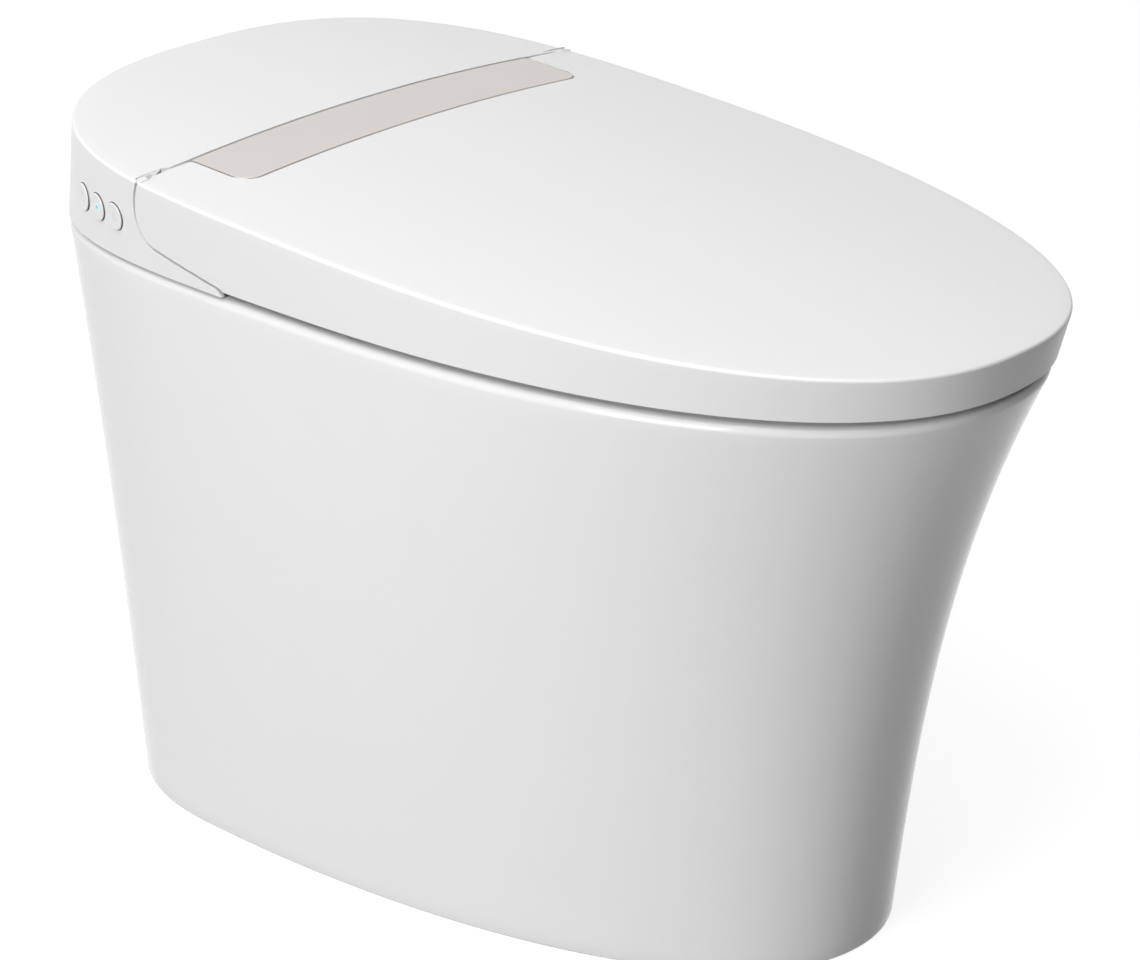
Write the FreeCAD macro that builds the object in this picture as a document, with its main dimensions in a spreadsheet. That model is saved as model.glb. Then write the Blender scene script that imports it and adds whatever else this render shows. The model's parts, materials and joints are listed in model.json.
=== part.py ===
"""A skirted one-piece smart toilet with a heated seat, as a parametric assembly.

Millimetres, +Z up.  The origin lies on the floor under the middle of the whole object, the front of
the bowl points along -Y, and a seated user's right hand, where the buttons are, is on the -X side.
Every driving dimension is a named cell of the "sizes" sheet, and each piece is an object of its own.
"""
import FreeCAD
import Part
import Sketcher
import math
import os
from FreeCAD import Placement, Rotation, Vector

X_AXIS, Y_AXIS, Z_AXIS = Vector(1, 0, 0), Vector(0, 1, 0), Vector(0, 0, 1)

SIZES = {
    # outlines: overall width, y of the widest place, reach to the front and rear, power of the curve
    "floor_z": 0.0, "floor_width": 350.2, "floor_widest": 170.4, "floor_front": 423.9,
    "floor_rear": 155.2, "floor_power_front": 2.105, "floor_power_rear": 2.33,
    "rim_z": 401.0, "rim_width": 391.0, "rim_widest": 54.1, "rim_front": 399.6,
    "rim_rear": 297.8, "rim_power_front": 2.239, "rim_power_rear": 3.582,
    "plan_z": 480.0, "plan_width": 411.0, "plan_widest": 84.9, "plan_front": 446.6,
    "plan_rear": 262.7, "plan_power_front": 2.473, "plan_power_rear": 2.835,
    # how straight the ceramic wall rises: 1 is a straight wall, less is a trumpet flare
    "flare_front": 0.409, "flare_side": 0.876, "flare_rear": 0.953, "flare_power": 2.865,
    # crowned top of the lid and housing
    "top_z": 461.5, "top_slope": 0.066, "top_radius_long": 12500.0, "top_radius_cross": 1900.0,
    # ceramic
    "skirt_wall": 12.0, "deck_thick": 22.0, "rim_round": 7.0, "bowl_wall": 11.0,
    "mouth_width": 262.0, "mouth_middle": -115.0, "mouth_front": 178.0, "mouth_rear": 172.0,
    "sump_z": 160.0, "sump_width": 84.0, "sump_middle": -62.0, "sump_reach": 56.0,
    "well_front": 170.0, "well_floor": 256.0, "well_half": 152.0, "well_wall": 11.0,
    "outlet_y": 60.0, "trap_bore": 27.0, "trap_wall": 8.0, "weir_z": 232.0, "weir_back": 16.0,
    "weir_drop": 6.0, "trap_start_y": 10.0, "trap_start_lift": 32.0, "trap_dip_back": 58.0,
    "trap_dip_lift": 26.0,
    "seal_height": 11.0, "seal_bore": 30.0, "seal_radius": 60.0, "seal_lean": 4.0,
    "slot_half": 84.0, "slot_depth": 27.0, "slot_front": -40.0,
    # seam between the lid and the housing, seen from the side
    "seam_y": 184.1, "seam_gap": 2.0, "seam_z": 438.0, "seam_upper_radius": 45.4,
    "seam_upper_y": 146.2, "seam_lower_radius": 20.0, "wing_slope": 10.6, "wing_tip_y": 112.0,
    # shells
    "shell_wall": 3.0, "edge_round": 1.6, "joint_gap": 1.0, "skin_gap": 0.3,
    # hinge line and barrel
    "hinge_y": 167.6, "hinge_z": 450.0, "barrel_radius": 40.0, "barrel_gap": 3.0,
    "pin_radius": 5.0, "pin_clearance": 0.05, "pin_outer": 188.0, "pin_inner": 140.0,
    "eye_radius": 9.0, "arm_inner": 161.0, "arm_width": 11.0, "arm_gap": 1.4,
    "boss_inner": 174.5, "lid_sweep": 21.4,
    "damper_radius": 10.5, "damper_length": 78.0, "damper_neck": 8.0,
    # trim plate
    "trim_half": 153.7, "trim_front": 132.0, "trim_thick": 2.5, "trim_gap": 1.9, "trim_corner": 12.0,
    # hinge housing under it
    "housing_inset": 1.7, "housing_step": 17.0,
    # lid
    "lid_gap": 5.0, "panel_z": 424.6, "panel_thick": 2.5, "lid_bumper_radius": 8.0,
    "lid_bumper_x": 130.0, "lid_bumper_y": -180.0,
    # seat
    "seat_z": 406.6, "seat_thick": 14.4, "seat_inset": 7.0, "seat_rear": 130.0, "seat_wall": 2.6,
    "seat_round": 5.0, "seat_inner_round": 6.0, "opening_width": 214.0, "opening_middle": -112.0,
    "opening_front": 150.0, "opening_rear": 148.0, "opening_power": 2.25, "heater_thick": 0.8,
    "heater_margin": 12.0, "base_thick": 2.0, "seat_bumper_radius": 9.0, "seat_bumper_x": 98.0,
    "seat_bumper_y": -262.0, "rear_bumper_x": 150.0, "rear_bumper_y": 60.0,
    # chassis
    "bolt_x": 120.0, "bolt_y": 149.0, "bolt_hole": 7.0, "bolt_radius": 3.0, "washer_radius": 9.0,
    "gasket_thick": 1.0, "gasket_margin": 1.2, "gasket_width": 9.0, "chassis_thick": 3.0,
    "chassis_front": 140.0, "window_half": 84.0, "window_rear": 222.0, "tongue_half": 78.0,
    "tongue_front": 92.0, "window_step": 14.0, "window_start": 20.0, "window_height": 11.0,
    "bolt_head": 3.0, "bolt_tail": 14.0, "nut_height": 7.0, "wing_span": 34.0, "wing_thick": 4.0,
    "wing_height": 9.0, "wing_drop": 13.0,
    # push buttons in the side wall
    "button_radius": 9.0, "button_proud": 1.3, "button_length": 6.0, "button_flange": 10.6,
    "button_flange_thick": 1.0, "button_clearance": 0.3, "button_stem": 2.5, "button_stem_length": 3.0,
    "button_travel": 1.0, "button_z": 430.3, "button_first_y": 216.4, "button_pitch": 22.0,
    "lens_radius": 2.6, "lens_thick": 1.2, "switch_side": 6.0, "switch_height": 4.0,
    "board_thick": 1.6,
    # wash unit
    "wash_slope": 28.0, "wash_y": 112.0, "wash_z": 364.0, "guide_length": 160.0,
    "guide_width": 46.0, "guide_height": 26.0, "wand_radius": 8.0, "wand_clearance": 0.1,
    "wand_pitch": 21.0, "wand_length": 150.0, "wand_wall": 2.5, "wand_solid": 20.0,
    "motor_radius": 9.0, "motor_length": 18.0,
    # dryer and deodoriser
    "dryer_x": 92.0, "dryer_y": 248.0, "dryer_radius": 38.0, "dryer_height": 34.0, "duct_x": 66.0,
    "duct_width": 30.0, "duct_height": 22.0, "duct_wall": 1.6, "duct_length": 96.0, "duct_start": -8.0,
    "lug_thick": 1.4, "flap_back": 2.6, "flap_drop": 2.5,
    "flap_thick": 1.6, "flap_pin": 1.5, "impeller_radius": 30.0, "impeller_height": 20.0,
    "scent_x": -95.0, "scent_y": 236.0, "scent_radius": 33.0, "scent_height": 26.0,
    "fan_radius": 26.0, "fan_height": 16.0, "fan_shaft": 16.0, "carbon_height": 12.0,
    "hub_radius": 11.0, "blade_thick": 1.2, "blower_wall": 2.0,
    "shaft_radius": 3.0, "rotor_lift": 5.0, "motor_bore": 10.0, "blower_motor_radius": 14.0,
    "blower_motor_height": 18.0,
    # water and electrics
    "tank_y": 256.0, "tank_length": 100.0, "tank_width": 62.0, "tank_height": 44.0,
    "pump_x": -86.0, "pump_y": 258.0, "pump_radius": 32.0, "pump_height": 105.0,
    "valve_width": 34.0, "valve_depth": 34.0, "valve_height": 38.0,
    "inlet_x": 70.0, "inlet_z": 428.0, "inlet_radius": 10.4, "inlet_length": 14.0,
    "inlet_bore": 5.0, "inlet_hole": 17.0, "inlet_hex": 13.5, "inlet_end_y": 347.0,
    "hose_radius": 5.0, "valve_rear": 320.0, "gland_radius": 6.5, "gland_bore": 3.5,
    "gland_flange": 9.0, "gland_thick": 2.4, "gland_relief": 0.35,
    "supply_y": 308.0, "supply_length": 84.0, "supply_width": 44.0, "supply_height": 36.0,
    "tray_x": -92.0, "tray_y": 305.0, "tray_length": 60.0, "tray_width": 44.0, "tray_height": 7.0,
    "tray_margin": 3.0,
}

doc = FreeCAD.newDocument("smart_toilet")
sheet = doc.addObject("Spreadsheet::Sheet", "sizes")
for row, (alias, number) in enumerate(SIZES.items(), start=1):
    sheet.set(f"A{row}", alias)
    sheet.set(f"B{row}", str(number))
    sheet.setAlias(f"B{row}", alias)
doc.recompute()


class Size:
    """A length of the sheet, or one worked out from several: its expression and its number."""

    def __init__(self, text, number):
        self.text, self.number = text, number

    @staticmethod
    def of(item):
        return item if isinstance(item, Size) else Size(repr(float(item)), float(item))

    def __add__(self, other):
        other = Size.of(other)
        return Size(f"({self.text} + {other.text})", self.number + other.number)

    def __sub__(self, other):
        other = Size.of(other)
        return Size(f"({self.text} - {other.text})", self.number - other.number)

    def __mul__(self, other):
        other = Size.of(other)
        return Size(f"({self.text} * {other.text})", self.number * other.number)

    def __truediv__(self, other):
        other = Size.of(other)
        return Size(f"({self.text} / {other.text})", self.number / other.number)

    def __neg__(self):
        return Size.of(0) - self

    __radd__ = lambda self, other: Size.of(other) + self
    __rsub__ = lambda self, other: Size.of(other) - self
    __rmul__ = lambda self, other: Size.of(other) * self

    def __float__(self):
        return self.number


class Sizes:
    """The sheet's cells by name: D.rim_z is the Size of the cell with that alias."""

    def __getattr__(self, alias):
        return Size(f"sizes.{alias}", float(sheet.get(alias)))


D = Sizes()


def value(alias):
    return float(sheet.get(alias))


# ---------------------------------------------------------------------------------------------------
# building blocks of the document
# ---------------------------------------------------------------------------------------------------
NODES = []


def bind(thing, **sizes):
    """Tie properties of a document object to the sheet."""
    for name, size in sizes.items():
        thing.setExpression(name.replace("_", "."), Size.of(size).text)


def place(thing, x=0, y=0, z=0, axis=Z_AXIS, angle=0.0):
    """Turn a piece about an axis through its own origin, and bind its place to the sheet."""
    thing.Placement = Placement(Vector(0, 0, 0), Rotation(axis, float(Size.of(angle))))
    for letter, size in zip("xyz", (x, y, z)):
        thing.setExpression(f"Placement.Base.{letter}", Size.of(size).text)
    return thing


def node(thing, label):
    """Name a finished piece, and put it on the list of those that are written out."""
    thing.Label = label
    NODES.append(thing)
    return thing


def primitive(kind, x=0, y=0, z=0, axis=Z_AXIS, angle=0.0, **sizes):
    thing = doc.addObject(f"Part::{kind}", kind)
    bind(thing, **sizes)
    return place(thing, x, y, z, axis, angle)


def brick(x, y, z, length, width, height):
    """A box whose x, y, z is the middle of its footprint and its lowest level."""
    return primitive("Box", Size.of(x) - Size.of(length) / 2, Size.of(y) - Size.of(width) / 2, z,
                     Length=length, Width=width, Height=height)


def rod(x, y, z, radius, height, axis=Z_AXIS, angle=0.0):
    return primitive("Cylinder", x, y, z, axis, angle, Radius=radius, Height=height)


def cut(base, *tools):
    for tool in tools:
        step = doc.addObject("Part::Cut", "Cut")
        step.Base, step.Tool = base, tool
        base = step
    return base


def fuse(*things):
    step = doc.addObject("Part::MultiFuse", "Fuse")
    step.Shapes = list(things)
    return step


def group(*things):
    """Separate solids that belong to one node."""
    step = doc.addObject("Part::Compound", "Group")
    step.Links = list(things)
    return step


def shaped(label, shape):
    """A piece whose shape comes from Part's own functions, for the free forms."""
    thing = doc.addObject("Part::Feature", label)
    thing.Shape = shape
    return node(thing, label)


def rounded(thing, radius, edge_numbers):
    step = doc.addObject("Part::Fillet", "Fillet")
    step.Base = thing
    step.Edges = [(number, float(radius), float(radius)) for number in edge_numbers]
    return step


class Piece:
    """A PartDesign body in its own frame, with helpers for dimensioned sketches on its planes."""

    def __init__(self, name):
        self.body = doc.addObject("PartDesign::Body", name)
        self.body.Label = name

    def sketch(self, role="XY_Plane"):
        sketch = self.body.newObject("Sketcher::SketchObject", "Sketch")
        plane = next(o for o in self.body.Origin.OriginFeatures if o.Role == role)
        sketch.AttachmentSupport = [(plane, "")]
        sketch.MapMode = "FlatFace"
        return sketch

    def feature(self, kind, sketch, **sizes):
        step = self.body.newObject(f"PartDesign::{kind}", kind)
        step.Profile = sketch
        bind(step, **sizes)
        sketch.Visibility = False
        return step

    def pad(self, sketch, length):
        return self.feature("Pad", sketch, Length=length)

    def turned(self, corners):
        """A solid of revolution about the body's Z axis, from (radius, height) corners."""
        sketch = self.sketch("XZ_Plane")
        polygon(sketch, corners)
        step = self.feature("Revolution", sketch)
        step.ReferenceAxis = (sketch, ["V_Axis"])
        step.Angle = 360
        return step

    def around(self, feature, count):
        """Copies of a feature, evenly spaced about the body's Z axis."""
        doc.recompute()
        step = self.body.newObject("PartDesign::PolarPattern", "Pattern")
        step.Originals = [feature]
        step.Axis = (next(o for o in self.body.Origin.OriginFeatures if o.Role == "Z_Axis"), [""])
        step.Angle = 360
        step.Occurrences = count
        self.body.Tip = step
        return step

    def rounded(self, radius, edge_names):
        doc.recompute()
        base = self.body.Tip
        step = self.body.newObject("PartDesign::Fillet", "Round")
        step.Base = (base, edge_names)
        bind(step, Radius=radius)
        return step

    def done(self, x=0, y=0, z=0, axis=Z_AXIS, angle=0.0):
        place(self.body, x, y, z, axis, angle)
        return node(self.body, self.body.Label)


def dimension(sketch, kind, geometry, position, size):
    """Hold a point at a distance from an axis of the sketch, or on the axis where that is zero."""
    size = Size.of(size)
    if size.text == "0.0":
        axis = -2 if kind == "DistanceX" else -1
        sketch.addConstraint(Sketcher.Constraint("PointOnObject", geometry, position, axis))
        return
    number = sketch.addConstraint(Sketcher.Constraint(kind, -1, 1, geometry, position, size.number))
    sketch.setExpression(f"Constraints[{number}]", size.text)


def polygon(sketch, corners):
    """A closed outline whose every corner is dimensioned from the sketch's origin."""
    corners = [(Size.of(x), Size.of(y)) for x, y in corners]
    points = [Vector(x.number, y.number, 0) for x, y in corners]
    first = sketch.GeometryCount
    for here, there in zip(points, points[1:] + points[:1]):
        sketch.addGeometry(Part.LineSegment(here, there), False)
    for index, (x, y) in enumerate(corners):
        line, after = first + index, first + (index + 1) % len(corners)
        sketch.addConstraint(Sketcher.Constraint("Coincident", line, 2, after, 1))
        dimension(sketch, "DistanceX", line, 1, x)
        dimension(sketch, "DistanceY", line, 1, y)


def rectangle(sketch, width, depth, x=0, y=0):
    """A rectangle centred on x, y."""
    half_w, half_d = Size.of(width) / 2, Size.of(depth) / 2
    x, y = Size.of(x), Size.of(y)
    polygon(sketch, [(x - half_w, y - half_d), (x + half_w, y - half_d),
                     (x + half_w, y + half_d), (x - half_w, y + half_d)])


def circle(sketch, radius, x=0, y=0):
    radius, x, y = Size.of(radius), Size.of(x), Size.of(y)
    index = sketch.addGeometry(Part.Circle(Vector(x.number, y.number, 0), Z_AXIS, radius.number), False)
    dimension(sketch, "DistanceX", index, 3, x)
    dimension(sketch, "DistanceY", index, 3, y)
    number = sketch.addConstraint(Sketcher.Constraint("Radius", index, radius.number))
    sketch.setExpression(f"Constraints[{number}]", radius.text)


# ---------------------------------------------------------------------------------------------------
# free forms: egg outlines, the flared wall, the crowned top and the side seam
# ---------------------------------------------------------------------------------------------------
FINE, COARSE = 48, 20
IMPELLER_BLADES, FAN_BLADES = 14, 9
FAR = 600.0


class Egg:
    """A closed outline of two half superellipses that share their widest place."""

    def __init__(self, width, widest, front, rear, power_front, power_rear):
        self.half, self.widest, self.front, self.rear = width / 2, widest, front, rear
        self.power_front, self.power_rear = power_front, power_rear

    @classmethod
    def named(cls, name):
        words = ("width", "widest", "front", "rear", "power_front", "power_rear")
        return cls(*(value(f"{name}_{word}") for word in words))

    def inset(self, gap):
        return Egg(2 * (self.half - gap), self.widest, self.front - gap, self.rear - gap,
                   self.power_front, self.power_rear)

    def side(self, turn):
        """Reach and power of the half that holds this turn: 0 points to the front."""
        if math.cos(turn) > 0:
            return self.front, self.power_front
        return self.rear, self.power_rear

    def point(self, turn, z=0.0):
        reach, power = self.side(turn)
        across = math.copysign(abs(math.sin(turn)) ** (2 / power), math.sin(turn))
        along = math.copysign(abs(math.cos(turn)) ** (2 / power), math.cos(turn))
        return Vector(self.half * across, self.widest - reach * along, z)

    def even_turns(self, count=FINE):
        """Turns whose points lie at even angles as seen from the widest place."""
        turns = []
        for step in range(count):
            angle = 2 * math.pi * step / count
            reach, power = self.side(angle)
            across = abs(math.sin(angle) / self.half) ** (power / 2)
            along = abs(math.cos(angle) / reach) ** (power / 2)
            turns.append(math.atan2(math.copysign(across, math.sin(angle)),
                                    math.copysign(along, math.cos(angle))))
        return turns

    def wire(self, z):
        return closed_curve([self.point(turn, z) for turn in self.even_turns()])

    def prism(self, low, high):
        return Part.Face(self.wire(low)).extrude(Vector(0, 0, high - low))


def closed_curve(points):
    curve = Part.BSplineCurve()
    curve.interpolate(Points=points, PeriodicFlag=True)
    return Part.Wire([curve.toShape()])


FLOOR, RIM, PLAN = Egg.named("floor"), Egg.named("rim"), Egg.named("plan")
RIM_TURNS = RIM.even_turns()


def upper_form(inset=0.0, low=None):
    """The outer form of lid and housing between the rim and the plan level, moved in by inset."""
    low_z, high_z = value("rim_z"), value("plan_z")
    levels = [low_z, high_z]
    if low is not None:
        levels[0] = low
    wires = []
    for level in levels:
        share = (level - low_z) / (high_z - low_z)
        below, above = RIM.inset(inset), PLAN.inset(inset)
        points = []
        for turn in RIM_TURNS:
            here = below.point(turn)
            here = here + (above.point(turn) - here) * share
            points.append(Vector(here.x, here.y, level))
        wires.append(closed_curve(points))
    return Part.makeLoft(wires, True, True)


def wall_point(turn, z):
    """A point of the flat-ruled wall above the rim."""
    share = (z - value("rim_z")) / (value("plan_z") - value("rim_z"))
    here = RIM.point(turn)
    here = here + (PLAN.point(turn) - here) * share
    return Vector(here.x, here.y, z)


FLARE_LEVELS = (0.0, 0.2, 0.4, 0.6, 0.8, 0.9, 1.0)
INNER_LEVELS = (0.0, 0.4, 0.75, 1.0)


def lower_form(inset=0.0, levels=FLARE_LEVELS, count=FINE):
    """The ceramic's outer form, from the floor outline to the rim, moved in by inset."""
    foot, top = FLOOR.inset(inset), RIM.inset(inset)
    wires = []
    for level in levels:
        points = []
        for turn in RIM.even_turns(count):
            ends = value("flare_front") if math.cos(turn) > 0 else value("flare_rear")
            straight = value("flare_side") + (ends - value("flare_side")) * math.cos(turn) ** 2
            share = straight * level + (1 - straight) * level ** value("flare_power")
            here = foot.point(turn)
            here = here + (top.point(turn) - here) * share
            points.append(Vector(here.x, here.y, value("rim_z") * level))
        wires.append(closed_curve(points))
    return Part.makeLoft(wires, True, False)


def top_height(x, y):
    return (value("top_z") + value("top_slope") * y - y * y / (2 * value("top_radius_long"))
            - x * x / (2 * value("top_radius_cross")))


def above_top(drop=0.0):
    """All that lies above the crowned top, lowered by drop."""
    half_x, half_y = 260.0, 420.0

    def controls(height, reach):
        low, middle, high = height(-reach), height(0.0), height(reach)
        return low, 2 * middle - (low + high) / 2, high

    along = controls(lambda y: top_height(0.0, y), half_y)
    across = controls(lambda x: top_height(x, 0.0) - top_height(0.0, 0.0), half_x)
    crown = Part.BezierSurface()
    crown.increase(2, 2)
    for i, x in enumerate((-half_x, 0.0, half_x)):
        for j, y in enumerate((-half_y, 0.0, half_y)):
            crown.setPole(i + 1, j + 1, Vector(x, y, along[j] + across[i] - drop))
    return crown.toShape().extrude(Vector(0, 0, FAR / 3))


def block(x0, x1, y0, y1, z0, z1):
    return Part.makeBox(x1 - x0, y1 - y0, z1 - z0, Vector(x0, y0, z0))


def barrel(radius, half):
    """A cylinder about the hinge line."""
    return Part.makeCylinder(radius, 2 * half, Vector(-half, value("hinge_y"), value("hinge_z")), X_AXIS)


def seam_side(gap):
    """Everything on the housing's side of the seam, with the seam moved by gap into the housing."""
    high_r, low_r = value("seam_upper_radius") + gap, value("seam_lower_radius") + gap
    middle_z, high_y = value("seam_z"), value("seam_upper_y")
    low_y = high_y + value("seam_upper_radius") - value("seam_lower_radius")
    slope = math.radians(value("wing_slope"))
    top_y = value("seam_y") + gap
    kink_z = middle_z + math.sqrt(high_r ** 2 - (top_y - high_y) ** 2)

    def at(y, z):
        return Vector(-FAR, y, z)

    def high_arc(angle):
        return at(high_y + high_r * math.cos(angle), middle_z + high_r * math.sin(angle))

    def low_arc(angle):
        return at(low_y + low_r * math.cos(angle), middle_z + low_r * math.sin(angle))

    kink_angle = math.atan2(kink_z - middle_z, top_y - high_y)
    foot_angle = slope - math.pi / 2
    foot = low_arc(foot_angle)
    tip_y = value("wing_tip_y") + gap
    tip_z = foot.z - (foot.y - tip_y) * math.tan(slope)
    sky, ground = FAR, 0.0
    edges = [
        Part.LineSegment(at(top_y, sky), at(top_y, kink_z)).toShape(),
        Part.Arc(at(top_y, kink_z), high_arc(kink_angle / 2), high_arc(0.0)).toShape(),
        Part.Arc(low_arc(0.0), low_arc(foot_angle / 2), foot).toShape(),
        Part.LineSegment(foot, at(tip_y, tip_z)).toShape(),
        Part.LineSegment(at(tip_y, tip_z), at(tip_y, ground)).toShape(),
        Part.LineSegment(at(tip_y, ground), at(FAR, ground)).toShape(),
        Part.LineSegment(at(FAR, ground), at(FAR, sky)).toShape(),
        Part.LineSegment(at(FAR, sky), at(top_y, sky)).toShape(),
    ]
    return Part.Face(Part.Wire(edges)).extrude(Vector(2 * FAR, 0, 0))


def trim_plan(low, high, grow=0.0):
    """The trim plate's plan with its rounded front corners, as a prism, grown all round."""
    half, front = value("trim_half") + grow, value("trim_front") - grow
    rear = value("seam_y") - value("seam_gap") / 2 + grow
    corner = value("trim_corner") + grow
    diagonal = corner * (1 - math.sqrt(0.5))

    def at(x, y):
        return Vector(x, y, low)

    edges = [
        Part.LineSegment(at(-half, rear), at(-half, front + corner)).toShape(),
        Part.Arc(at(-half, front + corner), at(diagonal - half, front + diagonal),
                 at(corner - half, front)).toShape(),
        Part.LineSegment(at(corner - half, front), at(half - corner, front)).toShape(),
        Part.Arc(at(half - corner, front), at(half - diagonal, front + diagonal),
                 at(half, front + corner)).toShape(),
        Part.LineSegment(at(half, front + corner), at(half, rear)).toShape(),
        Part.LineSegment(at(half, rear), at(-half, rear)).toShape(),
    ]
    return Part.Face(Part.Wire(edges)).extrude(Vector(0, 0, high - low))


def long_edges(shape, low_z, length):
    """Edges that lie wholly above a level and are longer than a length."""
    return [e for e in shape.Edges if e.BoundBox.ZMin > low_z and e.Length > length]


# ---------------------------------------------------------------------------------------------------
# ceramic body, floor seal
# ---------------------------------------------------------------------------------------------------
def bowl(grow=0.0):
    """The bowl's inside as a solid; grown by the wall it is the bowl's outside."""
    rim, sump = value("rim_z"), value("sump_z")
    mouth = Egg(value("mouth_width"), value("mouth_middle"), value("mouth_front"),
                value("mouth_rear"), 2.2, 2.3)
    foot = Egg(value("sump_width"), value("sump_middle"), value("sump_reach"),
               value("sump_reach"), 2.1, 2.1)
    # share of the way from the mouth to the sump outline, at shares of the depth
    shoulder = ((-0.03, 0.0), (0.15, 0.02), (0.5, 0.3), (1.0, 1.0))
    wires = []
    for depth, share in shoulder:
        points = []
        for turn in mouth.even_turns(COARSE):
            high, low = mouth.inset(-grow).point(turn), foot.inset(-grow).point(turn)
            here = high + (low - high) * share
            points.append(Vector(here.x, here.y, rim - (rim - sump + grow) * depth))
        wires.append(closed_curve(points))
    return Part.makeLoft(wires, True, False)


def trapway(radius):
    """The passage from the sump up over the weir and down to the outlet, as a solid."""
    y, weir, sump = value("outlet_y"), value("weir_z"), value("sump_z")
    path = [Vector(0, value("sump_middle") + value("trap_start_y"), sump + value("trap_start_lift")),
            Vector(0, y - value("trap_dip_back"), sump + value("trap_dip_lift")),
            Vector(0, y - value("weir_back"), weir), Vector(0, y, weir - value("weir_drop")),
            Vector(0, y, value("seal_height"))]
    solid = Part.makeSphere(radius, path[1])
    for corner in path[2:-1]:
        solid = solid.fuse(Part.makeSphere(radius, corner))
    for here, there in zip(path, path[1:]):
        solid = solid.fuse(Part.makeCylinder(radius, (there - here).Length, here, there - here))
    return solid


def wash_slot(half, depth, front, rear):
    """A sloping channel, open at the top, that the wash unit and the dryer duct lie in."""
    slope = value("wash_slope")
    length = (rear - front) / math.cos(math.radians(slope))
    solid = Part.makeBox(2 * half, length, 260, Vector(-half, 0, -depth))
    solid.rotate(Vector(0, 0, 0), X_AXIS, slope)
    start_z = value("wash_z") + (front - value("wash_y")) * math.tan(math.radians(slope))
    solid.translate(Vector(0, front, start_z))
    return solid


def make_ceramic():
    rim, wall = value("rim_z"), value("skirt_wall")
    well_half, well_front, well_wall = value("well_half"), value("well_front"), value("well_wall")
    outer = lower_form()
    outer = outer.makeFillet(value("rim_round"), long_edges(outer, rim - 0.1, 500))
    inner = lower_form(wall, INNER_LEVELS, COARSE)
    well = block(-well_half, well_half, well_front, FAR, value("well_floor"), rim + 5)
    well_shell = block(-well_half - well_wall, well_half + well_wall, well_front - well_wall, FAR,
                       value("well_floor") - well_wall, rim)
    slot_half, slot_depth, bowl_wall = value("slot_half"), value("slot_depth"), value("bowl_wall")
    slot_rear = well_front + well_wall + 2
    below_rim = block(-FAR, FAR, -FAR, FAR, 0, rim)
    slot_shell = wash_slot(slot_half + bowl_wall, slot_depth + bowl_wall, 0.0, slot_rear)
    hollow = inner.common(block(-FAR, FAR, -FAR, FAR, -1, rim - value("deck_thick")))
    hollow = hollow.cut([bowl(bowl_wall), well_shell, slot_shell.common(below_rim),
                         trapway(value("trap_bore") + value("trap_wall"))])
    channel = wash_slot(slot_half, slot_depth, value("slot_front"), slot_rear)
    channel = channel.common(block(-slot_half, slot_half, value("slot_front"), slot_rear, 0, rim + 5))
    bolt_holes = [Part.makeCylinder(value("bolt_hole"), FAR, Vector(x, value("bolt_y"), rim - 60))
                  for x in (-value("bolt_x"), value("bolt_x"))]
    return outer.cut([hollow, bowl(), well.common(inner), channel, trapway(value("trap_bore"))]
                     + bolt_holes)


# ---------------------------------------------------------------------------------------------------
# casings: rear cover, hinge housing, trim plate, lid
# ---------------------------------------------------------------------------------------------------
FLOOR_TOP = D.rim_z + D.gasket_thick + D.chassis_thick
CHASSIS_TOP = float(FLOOR_TOP)
UPPER = upper_form()


def inner_form(inset):
    return upper_form(inset, value("rim_z") - 10)


def wall_frame(z, beyond):
    """Place and outward direction of the wall, at the turn on the -X rear where beyond comes true."""
    near, far = -math.pi / 2, -math.pi
    for _ in range(50):
        middle = (near + far) / 2
        if beyond(wall_point(middle, z)):
            far = middle
        else:
            near = middle
    along = wall_point(near + 0.01, z) - wall_point(near - 0.01, z)
    upward = wall_point(near, z + 1) - wall_point(near, z - 1)
    outward = along.cross(upward).normalize()
    if outward.dot(wall_point(near, z) - Vector(0, value("plan_widest"), z)) < 0:
        outward = -outward
    sideways = Z_AXIS.cross(outward).normalize()
    upright = outward.cross(sideways)
    return Placement(wall_point(near, z), Rotation(sideways, upright, outward, "ZXY"))


def button_frame(y):
    return wall_frame(value("button_z"), lambda point: point.y > y)


BUTTON_FRAMES = [button_frame(value("button_first_y") + step * value("button_pitch"))
                 for step in range(3)]
GLAND_FRAME = wall_frame(value("inlet_z"), lambda point: point.x > -value("inlet_x"))


def in_frame(shape, frame):
    shape.Placement = frame.multiply(shape.Placement)
    return shape


def wash_window():
    """The passage of the wash unit and duct through the walls that stand on the chassis."""
    half = value("window_half")
    return block(-half, half, value("chassis_front") + value("window_start"), value("seam_y"),
                 value("rim_z"), CHASSIS_TOP + value("window_height"))


def seam_foot_y():
    return value("seam_upper_y") + value("seam_upper_radius") - value("seam_lower_radius")


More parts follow.
